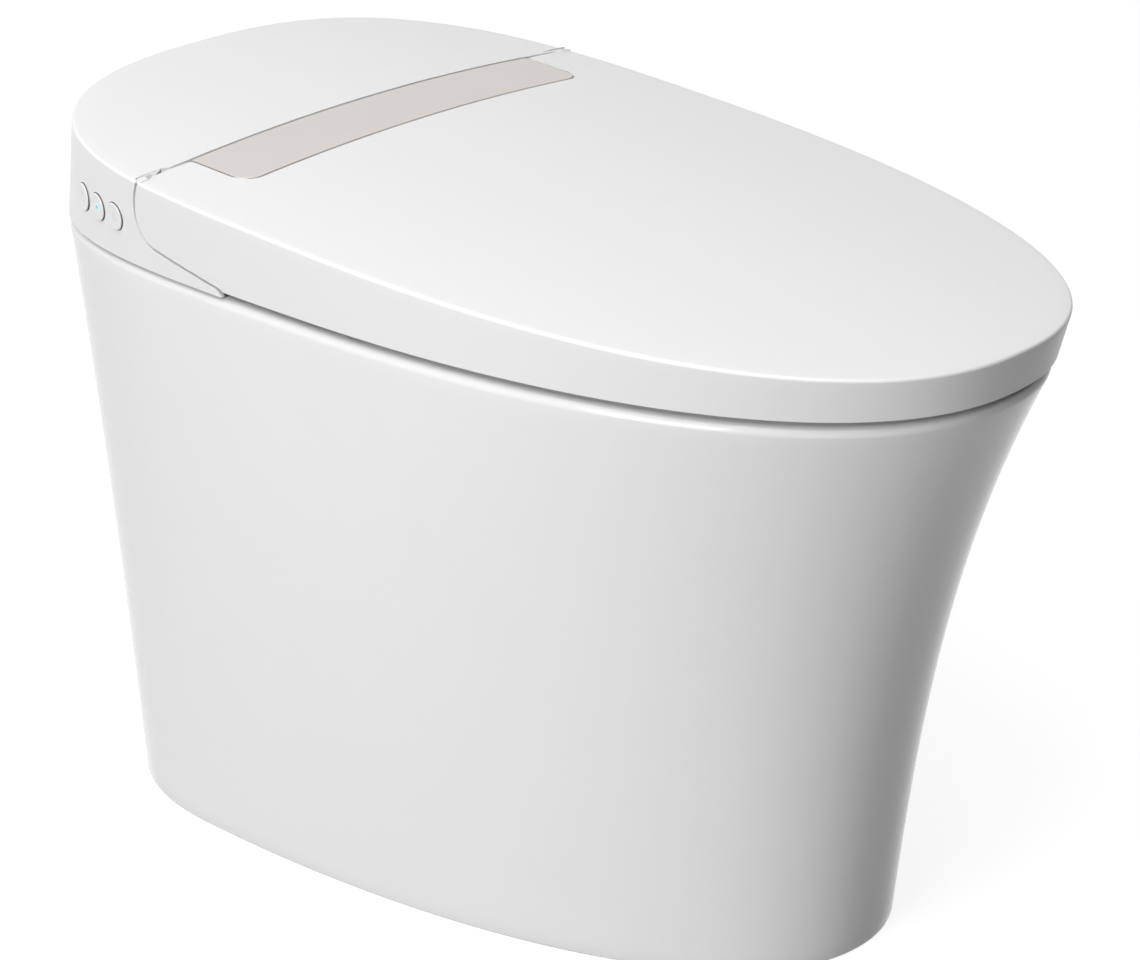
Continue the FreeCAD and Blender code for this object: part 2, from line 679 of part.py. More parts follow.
def make_rear_cover():
    wall, gap = value("shell_wall"), value("seam_gap") / 2
    low = value("rim_z") + value("joint_gap")
    foot_y = seam_foot_y()
    shell = UPPER.common(seam_side(gap)).cut([above_top(), block(-FAR, FAR, -FAR, FAR, 0, low)])
    edges = long_edges(shell, value("seam_z"), 400)
    shell = shell.makeFillet(value("edge_round"), edges)
    inner = inner_form(wall)
    room = seam_side(gap + wall).fuse(block(-FAR, FAR, -FAR, foot_y, 0, FAR))
    shell = shell.cut(inner.common(room).cut(above_top(wall)))
    half = value("rim_width") / 2
    foot_top = value("seam_z") - value("seam_lower_radius") - gap - wall / 2
    foot = block(-half, half, foot_y, foot_y + wall, CHASSIS_TOP, foot_top)
    shell = shell.fuse(foot.common(inner)).cut(wash_window())
    hole = value("button_radius") + value("button_clearance")
    for frame in BUTTON_FRAMES:
        shell = shell.cut(in_frame(Part.makeCylinder(hole, 20, Vector(0, 0, -10)), frame))
    rear_y = value("rim_widest") + value("rim_rear")
    inlet = Part.makeCylinder(value("inlet_hole"), 30, Vector(value("inlet_x"), rear_y - 22,
                                                              value("inlet_z")), Y_AXIS)
    gland = in_frame(Part.makeCylinder(value("gland_radius"), 20, Vector(0, 0, -10)), GLAND_FRAME)
    return shell.cut([inlet, gland])


def make_hinge_housing():
    wall, radius = value("trim_thick"), value("barrel_radius")
    front, foot_y = value("chassis_front"), seam_foot_y() - value("skin_gap")
    skirt_top = value("seam_z") - value("housing_step")

    def form(inset):
        half = value("trim_half")
        solid = barrel(radius - inset, half)
        low = CHASSIS_TOP - inset * 4
        solid = solid.fuse(block(-half, half, front + inset, value("seam_y"), low, value("hinge_z")))
        solid = solid.common(trim_plan(low, FAR, -value("housing_inset") - inset))
        return solid.cut([above_top(value("trim_thick") + inset),
                          block(-FAR, FAR, foot_y - inset, FAR, 0, skirt_top + inset),
                          block(-FAR, FAR, -FAR, FAR, 0, low)])

    holes = barrel(value("pin_radius"), value("trim_half") + 5)
    return form(0).cut([form(wall), wash_window(), holes])


def make_trim_plate():
    plate = trim_plan(value("rim_z"), value("plan_z") + 20)
    return plate.common(above_top(value("trim_thick"))).cut(above_top())


def make_lid_shell():
    wall, gap = value("shell_wall"), value("seam_gap") / 2
    low, under = value("rim_z") + value("lid_gap"), value("panel_z")
    recess_half = value("trim_half") + value("trim_gap")
    recess = value("barrel_radius") + value("barrel_gap")
    outer = UPPER.cut([seam_side(-gap), above_top(), block(-FAR, FAR, -FAR, FAR, 0, low)])
    outer = outer.makeFillet(value("edge_round"), long_edges(outer, low + 5, 600))
    # the corner that swings nearest to the housing is rounded off about the hinge line
    hinge_y, hinge_z = value("hinge_y"), value("hinge_z")
    corner = block(-FAR, FAR, hinge_y, FAR, hinge_z + value("pin_radius"), FAR)
    corner = corner.cut(barrel(value("lid_sweep"), FAR))
    outer = outer.cut([trim_plan(low, value("plan_z") + 20, value("trim_gap")),
                       barrel(recess, recess_half), corner])
    inner = inner_form(wall)
    kept = barrel(recess + wall, recess_half + wall).fuse(seam_side(-gap - wall))
    kept = kept.fuse(above_top(wall))
    shell = outer.cut(inner.cut(kept)).cut(
        inner.common(block(-FAR, FAR, -FAR, seam_foot_y() - 6, 0, under)))
    bosses = barrel(value("eye_radius"), FAR / 2).cut(barrel(value("eye_radius"), value("boss_inner")))
    shell = shell.fuse(bosses.common(outer))
    bores = barrel(value("pin_radius") + value("pin_clearance"), value("pin_outer") + 0.5)
    # slots that let the seat's arms pass the lid's rear wall
    slots = []
    for near in (value("arm_inner"), -value("arm_inner") - value("arm_width")):
        slots.append(block(near - value("arm_gap"), near + value("arm_width") + value("arm_gap"),
                           value("seat_rear"), FAR, 0, hinge_z - value("pin_radius")))
    return shell.cut([bores] + slots)


def inside_wall_y(z, radius):
    """How far back a flat piece at this height may reach before it meets a barrel of this radius."""
    return value("hinge_y") - math.sqrt(radius ** 2 - (z - value("hinge_z")) ** 2)


def make_lid_panel():
    low, thick, gap = value("panel_z"), value("panel_thick"), value("skin_gap")
    recess = value("barrel_radius") + value("barrel_gap") + value("shell_wall")
    rear = inside_wall_y(low + thick, recess) - gap
    panel = inner_form(value("shell_wall") + gap)
    return panel.common(block(-FAR, FAR, -FAR, rear, low, low + thick))


# ---------------------------------------------------------------------------------------------------
# seat
# ---------------------------------------------------------------------------------------------------
OPENING = Egg(value("opening_width"), value("opening_middle"), value("opening_front"),
              value("opening_rear"), value("opening_power"), value("opening_power"))


def seat_ring(margin, low, high):
    """The seat's outline with its opening, moved in from every edge by margin."""
    ring = RIM.inset(value("seat_inset") + margin).prism(low, high)
    ring = ring.common(block(-FAR, FAR, -FAR, value("seat_rear") - margin, 0, FAR))
    return ring.cut(OPENING.inset(-margin).prism(low - 1, high + 1))


def make_seat_top():
    low, high, wall = value("seat_z"), value("seat_z") + value("seat_thick"), value("seat_wall")
    ring = seat_ring(0.0, low, high)
    outer = [e for e in long_edges(ring, high - 0.1, 500) if e.BoundBox.YMin < -300]
    hole = [e for e in long_edges(ring, high - 0.1, 500) if e.BoundBox.YMin > -300]
    ring = ring.makeFillet(value("seat_round"), outer).makeFillet(value("seat_inner_round"), hole)
    return ring.cut(seat_ring(wall, low - 1, high - wall))


def make_seat_base():
    low = value("seat_z")
    return seat_ring(value("seat_wall") + value("skin_gap"), low, low + value("base_thick"))


def make_seat_heater():
    under = value("seat_z") + value("seat_thick") - value("seat_wall")
    return seat_ring(value("heater_margin"), under - value("heater_thick"), under)


def make_seat_arms():
    """Two arms from the seat's rear edge up to their eyes on the hinge line."""
    rear, low = D.seat_rear, D.seat_z + 1
    high = D.seat_z + D.seat_thick - 1
    arms = []
    for name, x in (("RightArm", -D.arm_inner - D.arm_width), ("LeftArm", D.arm_inner)):
        arm = Piece(name)
        sketch = arm.sketch("YZ_Plane")
        polygon(sketch, [(rear, low), (D.hinge_y + 7, D.hinge_z - 6), (D.hinge_y - 7, D.hinge_z + 6),
                         (rear, high)])
        arm.pad(sketch, D.arm_width)
        arm.body.setExpression("Placement.Base.x", x.text)
        eye = rod(x, D.hinge_y, D.hinge_z, D.eye_radius, D.arm_width, Y_AXIS, 90)
        bore = rod(x - 1, D.hinge_y, D.hinge_z, D.pin_radius + D.pin_clearance, D.arm_width + 2,
                   Y_AXIS, 90)
        arms.append(cut(fuse(arm.body, eye), bore))
    return node(group(*arms), "seat_hinge_arms")


def pads(label, places, radius, low, height):
    """Round rubber bumpers at mirrored places."""
    spots = [rod(x * side, y, low, radius, height) for x, y in places for side in (-1, 1)]
    return node(group(*spots), label)


# ---------------------------------------------------------------------------------------------------
# hinge line
# ---------------------------------------------------------------------------------------------------
def make_hinge_pins():
    length = D.pin_outer - D.pin_inner
    pins = [rod(x, D.hinge_y, D.hinge_z, D.pin_radius, length, Y_AXIS, 90)
            for x in (-D.pin_outer, D.pin_inner)]
    return node(group(*pins), "hinge_pins")


def make_damper(label, turn):
    """A rotary damper: its barrel, a stepped neck, and the boss that the pin is pressed against."""
    damper = Piece(label)
    neck = D.damper_length - D.damper_neck
    damper.turned([(0, 0), (D.damper_radius, 0), (D.damper_radius, neck), (D.damper_neck, neck),
                   (D.damper_neck, D.damper_length), (0, D.damper_length)])
    start = (D.pin_inner - D.damper_length) * (1 if turn > 0 else -1)
    return damper.done(start, D.hinge_y, D.hinge_z, Y_AXIS, turn)


# ---------------------------------------------------------------------------------------------------
# chassis
# ---------------------------------------------------------------------------------------------------
def bolt_spots():
    return [Vector(x, value("bolt_y"), 0) for x in (-value("bolt_x"), value("bolt_x"))]


def make_deck_gasket():
    low = value("rim_z")
    high = low + value("gasket_thick")
    margin = value("gasket_margin")
    ring = RIM.inset(margin).prism(low, high)
    ring = ring.cut(RIM.inset(margin + value("gasket_width")).prism(low - 1, high + 1))
    ring = ring.common(block(-FAR, FAR, value("wing_tip_y") + 2, FAR, 0, FAR))
    washers = []
    for spot in bolt_spots():
        disc = Part.makeCylinder(value("washer_radius"), high - low, spot + Vector(0, 0, low))
        washers.append(disc.cut(Part.makeCylinder(value("bolt_radius"), FAR, spot)))
    return Part.makeCompound([ring] + washers)


def make_chassis():
    low, high = value("rim_z") + value("gasket_thick"), CHASSIS_TOP
    front, half = value("chassis_front"), value("window_half")
    plate = RIM.inset(value("shell_wall") + value("gasket_margin")).prism(low, high)
    plate = plate.common(block(-FAR, FAR, front, FAR, low, high))
    plate = plate.cut(block(-half, half, front + value("window_step"), value("window_rear"), 0, FAR))
    tongue = block(-value("tongue_half"), value("tongue_half"), value("tongue_front"), front + 1,
                   low, high)
    holes = [Part.makeCylinder(value("bolt_radius"), FAR, spot) for spot in bolt_spots()]
    return plate.fuse(tongue).cut(holes)


def make_deck_bolts():
    """Two plastic bolts with washers and wing nuts that clamp the chassis to the ceramic deck."""
    top, under = CHASSIS_TOP, value("rim_z") - value("deck_thick")
    tail, nut_height, drop = value("bolt_tail"), value("nut_height"), value("wing_drop")
    span, thick = value("wing_span"), value("wing_thick")
    bolts = []
    for spot in bolt_spots():
        head = Part.makeCylinder(2 * value("bolt_radius"), value("bolt_head"), spot + Vector(0, 0, top))
        shank = Part.makeCylinder(value("bolt_radius"), top - under + tail,
                                  spot + Vector(0, 0, under - tail))
        nut = Part.makeCylinder(value("washer_radius"), nut_height,
                                spot + Vector(0, 0, under - nut_height))
        wing = Part.makeBox(span, thick, value("wing_height"),
                            spot + Vector(-span / 2, -thick / 2, under - drop))
        bolts.append(head.fuse([shank, nut, wing]))
    return Part.makeCompound(bolts)


# ---------------------------------------------------------------------------------------------------
# push buttons
# ---------------------------------------------------------------------------------------------------
BUTTONS = ("rear_wash_button", "power_button", "front_wash_button")


def make_button(label, frame, lens):
    """A turned cap with a flange behind the wall and a stem that meets its switch."""
    button = Piece(label)
    radius, proud, length = D.button_radius, D.button_proud, D.button_length
    flange_top = -(D.shell_wall + 0.6)
    flange_low = flange_top - D.button_flange_thick
    stem_end = -(length + D.button_stem_length)
    corners = [(0, stem_end), (D.button_stem, stem_end), (D.button_stem, -length), (radius, -length),
               (radius, flange_low), (D.button_flange, flange_low), (D.button_flange, flange_top),
               (radius, flange_top), (radius, proud - 0.6), (radius - 0.6, proud)]
    if lens:
        corners += [(D.lens_radius, proud), (D.lens_radius, proud - D.lens_thick),
                    (0, proud - D.lens_thick)]
    else:
        corners += [(0, proud)]
    button.turned(corners)
    button.body.Placement = frame
    return node(button.body, label)


def make_lens(frame):
    lens = Piece("power_led_lens")
    low, high = D.button_proud - D.lens_thick, D.button_proud
    lens.turned([(0, low), (D.lens_radius, low), (D.lens_radius, high), (0, high)])
    lens.body.Placement = frame
    return node(lens.body, "power_led_lens")


def board_depth():
    """Depth of the button board's face behind the middle of the wall's outer surface."""
    return (value("button_length") + value("button_stem_length") + value("button_travel")
            + value("switch_height"))


def make_switches():
    side = value("switch_side")
    stem_end = value("button_length") + value("button_stem_length")
    top = stem_end + value("button_travel") + 0.1
    beyond = in_frame(Part.makeBox(200, 200, 60, Vector(-100, -100, -60 - board_depth())),
                      BUTTON_FRAMES[1])
    switches = []
    for frame in BUTTON_FRAMES:
        body = Part.makeBox(side, side, 12, Vector(-side / 2, -side / 2, -top - 12))
        switches.append(in_frame(body, frame).cut(beyond))
    return Part.makeCompound(switches)


def make_button_board():
    """The board behind the buttons, which stands on the chassis."""
    pitch, thick = value("button_pitch"), value("board_thick")
    length = 2 * pitch + 2 * value("switch_side") + 8
    board = Part.makeBox(length, 60, thick, Vector(-length / 2, -46, -board_depth() - thick))
    board = in_frame(board, BUTTON_FRAMES[1])
    return board.common(block(-FAR, FAR, -FAR, FAR, CHASSIS_TOP, FAR))


# ---------------------------------------------------------------------------------------------------
# wash unit
# ---------------------------------------------------------------------------------------------------
TILT = -(90 - value("wash_slope"))
ALONG = (math.cos(math.radians(value("wash_slope"))), math.sin(math.radians(value("wash_slope"))))


def on_slope(along, up=0.0):
    """Y and z, as sizes, of a place on the wash unit's sloping axis, or above it."""
    lift = Size.of(up)
    y = D.wash_y + Size.of(along) * ALONG[0] - lift * ALONG[1]
    z = D.wash_z + Size.of(along) * ALONG[1] + lift * ALONG[0]
    return y, z


def sloped_box(x, along, width, height, length, up=0.0):
    """A box centred on x whose length runs up the slope from a place along it."""
    y, z = on_slope(along, Size.of(up) + Size.of(height) / 2)
    return primitive("Box", Size.of(x) - Size.of(width) / 2, y, z, X_AXIS, TILT,
                     Length=width, Width=height, Height=length)


def sloped_rod(x, along, radius, length):
    y, z = on_slope(along)
    return primitive("Cylinder", x, y, z, X_AXIS, TILT, Radius=radius, Height=length)


def make_guide():
    bore = D.wand_radius + D.wand_clearance
    block_ = sloped_box(0, 0, D.guide_width, D.guide_height, D.guide_length)
    post_y, post_z = on_slope(D.guide_length - 22)
    post = brick(0, post_y, FLOOR_TOP, D.guide_width - 10, 12, post_z - FLOOR_TOP - 8)
    foot_height = D.slot_depth - D.skin_gap - D.guide_height / 2
    foot = sloped_box(0, 14, D.guide_width - 14, foot_height, 20,
                      -(D.guide_height + foot_height) / 2)
    bores = [sloped_rod(x, -5, bore, D.guide_length + 10) for x in (-D.wand_pitch / 2, D.wand_pitch / 2)]
    return node(cut(fuse(block_, post, foot), *bores), "nozzle_housing")


def make_wand(label, x):
    """A hollow spray wand with a domed tip; its spray holes face up near the tip."""
    wand = Piece(label + "_tube")
    radius, length = D.wand_radius, D.wand_length
    wall, solid = D.wand_wall, D.wand_solid
    wand.turned([(0, 0), (radius - wall, 0), (radius, wall), (radius, length), (radius - wall, length),
                 (radius - wall, solid), (0, solid)])
    y, z = on_slope(2)
    place(wand.body, x, y, z, X_AXIS, TILT)
    holes = []
    for along in (9, 12):
        hole_y, hole_z = on_slope(Size.of(along) + 2, D.wand_radius - 1.5)
        holes.append(primitive("Cylinder", x, hole_y, hole_z, X_AXIS, value("wash_slope"), Radius=0.7,
                               Height=4))
    return node(cut(wand.body, *holes), label)


def make_motors():
    motors = []
    y, z = on_slope(D.guide_length - 18, D.guide_height / 2 + D.motor_radius + 0.1)
    for x in (-D.motor_length - 2, Size.of(2)):
        motors.append(rod(x, y, z, D.motor_radius, D.motor_length, Y_AXIS, 90))
    return node(group(*motors), "wand_motors")


# ---------------------------------------------------------------------------------------------------
# warm-air dryer and deodoriser
# ---------------------------------------------------------------------------------------------------
def make_dryer():
    wall, length = D.duct_wall, 46
    start, floor = D.duct_length + D.duct_start, FLOOR_TOP
    shell = rod(D.dryer_x, D.dryer_y, floor, D.dryer_radius, D.dryer_height)
    spigot = sloped_box(D.duct_x, start, D.duct_width, D.duct_height, length)
    room = rod(D.dryer_x, D.dryer_y, floor + D.blower_wall, D.dryer_radius - D.blower_wall,
               D.dryer_height - 2 * D.blower_wall)
    passage = sloped_box(D.duct_x, start - 5, D.duct_width - 2 * wall, D.duct_height - 2 * wall,
                         length)
    shaft = rod(D.dryer_x, D.dryer_y, floor, D.shaft_radius + D.pin_clearance, D.dryer_height + 5)
    return node(cut(fuse(shell, spigot), room, passage, shaft), "dryer_housing")


def make_duct():
    wall, start, lug = D.duct_wall, D.duct_start, D.lug_thick
    duct = sloped_box(D.duct_x, start, D.duct_width, D.duct_height, D.duct_length)
    passage = sloped_box(D.duct_x, start - 1, D.duct_width - 2 * wall, D.duct_height - 2 * wall,
                         D.duct_length + 2)
    lugs, bores = [], []
    for side in (-1, 1):
        x = D.duct_x + side * (D.duct_width - lug) / 2
        lugs.append(sloped_box(x, start - 5, lug, 5, 5.5, D.duct_height / 2 - D.flap_drop))
    pin_y, pin_z = on_slope(start - D.flap_back, D.duct_height / 2 - D.flap_drop)
    bore = rod(D.duct_x - D.duct_width, pin_y, pin_z, D.flap_pin + D.pin_clearance, D.duct_width * 2,
               Y_AXIS, 90)
    return node(cut(fuse(duct, *lugs), passage, bore), "dryer_duct")


def make_flap():
    """The shutter that hangs over the duct's mouth on its own pin."""
    back = D.duct_start - D.flap_back
    width = D.duct_width - 2 * D.lug_thick - 0.8
    pin_y, pin_z = on_slope(back, D.duct_height / 2 - D.flap_drop)
    leaf = sloped_box(D.duct_x, back - D.flap_thick / 2, width, D.duct_height - 3, D.flap_thick, -1)
    pin = rod(D.duct_x - D.duct_width / 2, pin_y, pin_z, D.flap_pin, D.duct_width, Y_AXIS, 90)
    return node(fuse(leaf, pin), "dryer_flap")


def make_rotor(label, x, y, low, radius, height, blades, above, below):
    """A bladed rotor with a back plate, and a shaft that reaches above and below the plate."""
    rotor = Piece(label)
    hub = D.hub_radius
    disc = rotor.sketch()
    circle(disc, radius)
    rotor.pad(disc, 1.6)
    boss = rotor.sketch()
    circle(boss, hub)
    rotor.pad(boss, height)
    blade = rotor.sketch()
    rectangle(blade, radius - hub, D.blade_thick, (radius + hub) / 2 - 1, 0)
    vane = rotor.pad(blade, height)
    rotor.around(vane, blades)
    for length, downward in ((above, False), (below, True)):
        shaft = rotor.sketch()
        circle(shaft, D.shaft_radius)
        rotor.pad(shaft, length).Reversed = downward
    return rotor.done(x, y, low)


def make_blower_motor():
    """The motor on the blower's lid, with the bore that its shaft runs in."""
    motor = Piece("dryer_motor")
    bore = D.shaft_radius + D.pin_clearance
    radius, height = D.blower_motor_radius, D.blower_motor_height
    motor.turned([(0, D.motor_bore), (bore, D.motor_bore), (bore, 0), (radius, 0),
                  (radius, height - 2), (radius - 2, height), (0, height)])
    return motor.done(D.dryer_x, D.dryer_y, FLOOR_TOP + D.dryer_height)


def make_scent_housing():
    floor, wall = FLOOR_TOP, D.blower_wall
    shell = rod(D.scent_x, D.scent_y, floor, D.scent_radius, D.scent_height)
    room = rod(D.scent_x, D.scent_y, floor + wall, D.scent_radius - wall, D.scent_height)
    inlet = rod(D.scent_x, D.scent_y, floor - 1, D.shaft_radius + D.pin_clearance, 10)
    outlet = brick(D.scent_x, D.scent_y + D.scent_radius, floor + 6, 24, 12, 14)
    return node(cut(shell, room, inlet, outlet), "deodoriser_housing")


# ---------------------------------------------------------------------------------------------------
# water and electrics
# ---------------------------------------------------------------------------------------------------
def tube(label, radius, points):
    """A hose along straight runs joined by tangent arcs, as large as the runs allow."""
    edges, previous = [], points[0]
    for before, corner, after in zip(points, points[1:], points[2:]):
        into, out = (corner - before).normalize(), (after - corner).normalize()
        half_turn = into.getAngle(out) / 2
        reach = 0.45 * min((corner - before).Length, (after - corner).Length)
        bend = reach / math.tan(half_turn)
        inward = (out - into).normalize()
        centre = corner + inward * (bend / math.cos(half_turn))
        edges.append(Part.LineSegment(previous, corner - into * reach).toShape())
        edges.append(Part.Arc(corner - into * reach, centre - inward * bend,
                              corner + out * reach).toShape())
        previous = corner + out * reach
    edges.append(Part.LineSegment(previous, points[-1]).toShape())
    ring = Part.Wire([Part.makeCircle(radius, points[0], points[1] - points[0])])
    return shaped(label, Part.Wire(edges).makePipeShell([ring], True, False))


def make_block(label, x, y, z, length, width, height, round_):
    """A moulded box: a padded rectangle with rounded upright edges."""
    piece = Piece(label)
    sketch = piece.sketch()
    rectangle(sketch, length, width)
    piece.pad(sketch, height)
    doc.recompute()
    upright = [f"Edge{n}" for n, e in enumerate(piece.body.Tip.Shape.Edges, start=1)
               if abs(e.tangentAt(e.FirstParameter).z) > 0.99]
    piece.rounded(round_, upright)
    return piece.done(x, y, z)


def make_outlet_seal():
    seal = Piece("outlet_seal")
    seal.turned([(D.seal_bore, 0), (D.seal_radius, 0), (D.seal_radius - D.seal_lean, D.seal_height),
                 (D.seal_bore, D.seal_height)])
    return seal.done(0, D.outlet_y, D.floor_z)


def make_inlet():
    """The threaded water inlet with its hexagon, which faces the rear through the cover."""
    inlet = Piece("inlet_connector")
    length = D.inlet_end_y - D.valve_rear
    inlet.turned([(D.inlet_bore, 0), (D.inlet_hex, 0), (D.inlet_hex, length - D.inlet_length),
                  (D.inlet_radius, length - D.inlet_length), (D.inlet_radius, length),
                  (D.inlet_bore, length)])
    return inlet.done(D.inlet_x, D.valve_rear, D.inlet_z, X_AXIS, -90)


def make_gland():
    """The cable entry: a sleeve through the rear wall, with a flange that stands clear of each face."""
    gland = Piece("cable_gland")
    bore, neck, flange = D.gland_bore, D.gland_radius, D.gland_flange
    inside = -(D.shell_wall + D.skin_gap)
    thick = D.gland_thick
    seat = inside - D.gland_relief
    gland.turned([(bore, inside - thick), (flange, inside - thick), (flange, seat), (neck, seat),
                  (neck, D.skin_gap), (flange, D.skin_gap), (flange - 0.6, D.skin_gap + thick),
                  (bore, D.skin_gap + thick)])
    gland.body.Placement = GLAND_FRAME
    return node(gland.body, "cable_gland")


# ---------------------------------------------------------------------------------------------------
# build every piece
# ---------------------------------------------------------------------------------------------------
UNDER_CHASSIS = D.rim_z + D.gasket_thick

shaped("ceramic_body", make_ceramic())
make_outlet_seal()
shaped("deck_gasket", make_deck_gasket())
shaped("chassis_plate", make_chassis())
shaped("deck_bolts", make_deck_bolts())
shaped("rear_cover", make_rear_cover())
shaped("trim_plate", make_trim_plate())
shaped("hinge_housing", make_hinge_housing())
shaped("lid_shell", make_lid_shell())
shaped("lid_inner_panel", make_lid_panel())
shaped("seat_top_shell", make_seat_top())
shaped("seat_base_plate", make_seat_base())
shaped("seat_heater", make_seat_heater())
make_seat_arms()
make_hinge_pins()
make_damper("lid_damper", 90)
make_damper("seat_damper", -90)
SEAT_TOP = D.seat_z + D.seat_thick
REAR_BUMPER = (D.rear_bumper_x, D.rear_bumper_y)
pads("seat_bumpers", ((D.seat_bumper_x, D.seat_bumper_y), REAR_BUMPER), D.seat_bumper_radius,
     D.rim_z + D.skin_gap, D.seat_z - D.rim_z - D.skin_gap)
pads("lid_bumpers", ((D.lid_bumper_x, D.lid_bumper_y), REAR_BUMPER), D.lid_bumper_radius,
     SEAT_TOP + D.skin_gap, D.panel_z - SEAT_TOP - D.skin_gap)

for label, frame in zip(BUTTONS, BUTTON_FRAMES):
    make_button(label, frame, label == "power_button")
make_lens(BUTTON_FRAMES[1])
shaped("button_switches", make_switches())
shaped("button_board", make_button_board())

make_guide()
make_wand("rear_wash_wand", -D.wand_pitch / 2)
make_wand("front_wash_wand", D.wand_pitch / 2)
make_motors()

make_dryer()
make_duct()
make_flap()
make_rotor("dryer_impeller", D.dryer_x, D.dryer_y, FLOOR_TOP + D.rotor_lift, D.impeller_radius,
           D.impeller_height, IMPELLER_BLADES,
           D.dryer_height - D.rotor_lift + D.motor_bore - D.skin_gap, 1)
make_blower_motor()
make_scent_housing()
make_rotor("deodoriser_fan", D.scent_x, D.scent_y, FLOOR_TOP + D.rotor_lift, D.fan_radius,
           D.fan_height, FAN_BLADES, D.fan_shaft, D.rotor_lift - D.skin_gap)
carbon = rod(D.scent_x, D.scent_y, FLOOR_TOP + D.scent_height, D.scent_radius - 1, D.carbon_height)
node(carbon, "carbon_filter")

make_block("heater_tank", D.dryer_x, D.tank_y, UNDER_CHASSIS - D.tank_height, D.tank_length,
           D.tank_width, D.tank_height, 8)
pump = rod(D.pump_x, D.pump_y, UNDER_CHASSIS - D.pump_height, D.pump_radius, D.pump_height)
node(rounded(pump, 4, [1, 3]), "booster_pump")
make_block("solenoid_valve", D.inlet_x, D.valve_rear - D.valve_depth / 2, FLOOR_TOP, D.valve_width,
           D.valve_depth, D.valve_height, 4)
make_inlet()
make_gland()
make_block("power_supply", 0, D.supply_y, FLOOR_TOP, D.supply_length, D.supply_width,
           D.supply_height, 3)
make_block("control_tray", D.tray_x, D.tray_y, FLOOR_TOP, D.tray_length, D.tray_width, D.tray_height, 3)
make_block("control_board", D.tray_x, D.tray_y, FLOOR_TOP + D.tray_height,
           D.tray_length - 2 * D.tray_margin, D.tray_width - 2 * D.tray_margin, D.board_thick, 1)
tube("inlet_hose", value("hose_radius"),
     [Vector(87, 303, 424), Vector(110, 303, 424), Vector(124, 296, 422), Vector(124, 296, 405.05)])
tube("wash_hose", value("hose_radius"),
     [Vector(-50, 252, 405.05), Vector(-50, 252, 421), Vector(-50, 234, 429),
      Vector(-46, 222.4, 422.7), Vector(-23.05, 222.4, 422.7)])

doc.recompute()
failed = [f"{thing.Name} ({thing.Label})" for thing in doc.Objects
          if "Invalid" in thing.State or "Error" in thing.State]
failed += [thing.Label for thing in NODES if thing.Shape.isNull() or not thing.Shape.isValid()]
if failed:
    raise RuntimeError("these have no valid shape: " + ", ".join(failed))
os.makedirs("parts", exist_ok=True)
for thing in NODES:
    thing.Shape.exportStep(f"parts/{thing.Label}.step")
    box = thing.Shape.BoundBox
    print(f"{thing.Label:22s} {len(thing.Shape.Solids)} solids {thing.Shape.Volume / 1000:9.2f} cm3"
          f"  y {box.YMin:7.1f} {box.YMax:7.1f}  z {box.ZMin:6.1f} {box.ZMax:6.1f}")
for label, frame in zip(BUTTONS + ("cable_gland",), BUTTON_FRAMES + [GLAND_FRAME]):
    inward = frame.Rotation.multVec(-Z_AXIS)
    print(label, "at", [round(n, 3) for n in frame.Base], "presses along",
          [round(n, 5) for n in inward])
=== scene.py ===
"""The looks of a skirted smart toilet with a heated seat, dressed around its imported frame.

Metres, +Z up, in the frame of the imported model: the bowl's front points along -Y and the side wall
with the push buttons is on the -X side.  Every visible casing is a closed skin with rounded edges,
worked out from a few outlines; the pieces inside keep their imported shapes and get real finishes.
"""
import logging
from dataclasses import astuple, dataclass, field
from enum import Enum
from math import acos, atan2, copysign, cos, hypot, pi, radians, sin
from typing import Callable, Optional, Sequence

import bmesh
import bpy
from bpy.types import Material, Node, NodeSocket, NodeTree, Object
from mathutils import Matrix, Vector
from mathutils.bvhtree import BVHTree
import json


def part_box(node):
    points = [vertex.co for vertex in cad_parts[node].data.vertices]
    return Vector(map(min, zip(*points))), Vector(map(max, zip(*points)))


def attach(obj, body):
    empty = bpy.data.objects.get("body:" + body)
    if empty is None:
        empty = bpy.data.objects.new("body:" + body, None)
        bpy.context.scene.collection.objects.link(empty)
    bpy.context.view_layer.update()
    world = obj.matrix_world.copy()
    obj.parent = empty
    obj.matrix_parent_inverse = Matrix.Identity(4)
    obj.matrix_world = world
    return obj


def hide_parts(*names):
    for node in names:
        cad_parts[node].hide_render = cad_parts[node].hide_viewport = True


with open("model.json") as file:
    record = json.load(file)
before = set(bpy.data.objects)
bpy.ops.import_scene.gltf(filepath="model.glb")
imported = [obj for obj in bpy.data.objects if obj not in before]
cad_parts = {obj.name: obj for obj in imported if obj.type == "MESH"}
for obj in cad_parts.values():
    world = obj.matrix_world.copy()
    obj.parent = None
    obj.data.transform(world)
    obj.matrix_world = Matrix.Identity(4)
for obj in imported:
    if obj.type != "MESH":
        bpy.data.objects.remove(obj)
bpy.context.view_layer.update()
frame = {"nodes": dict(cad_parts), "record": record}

LOG = logging.getLogger("smart_toilet")
BMesh = bmesh.types.BMesh
Distance = Callable[[Vector], float]
Ring = list[Vector]


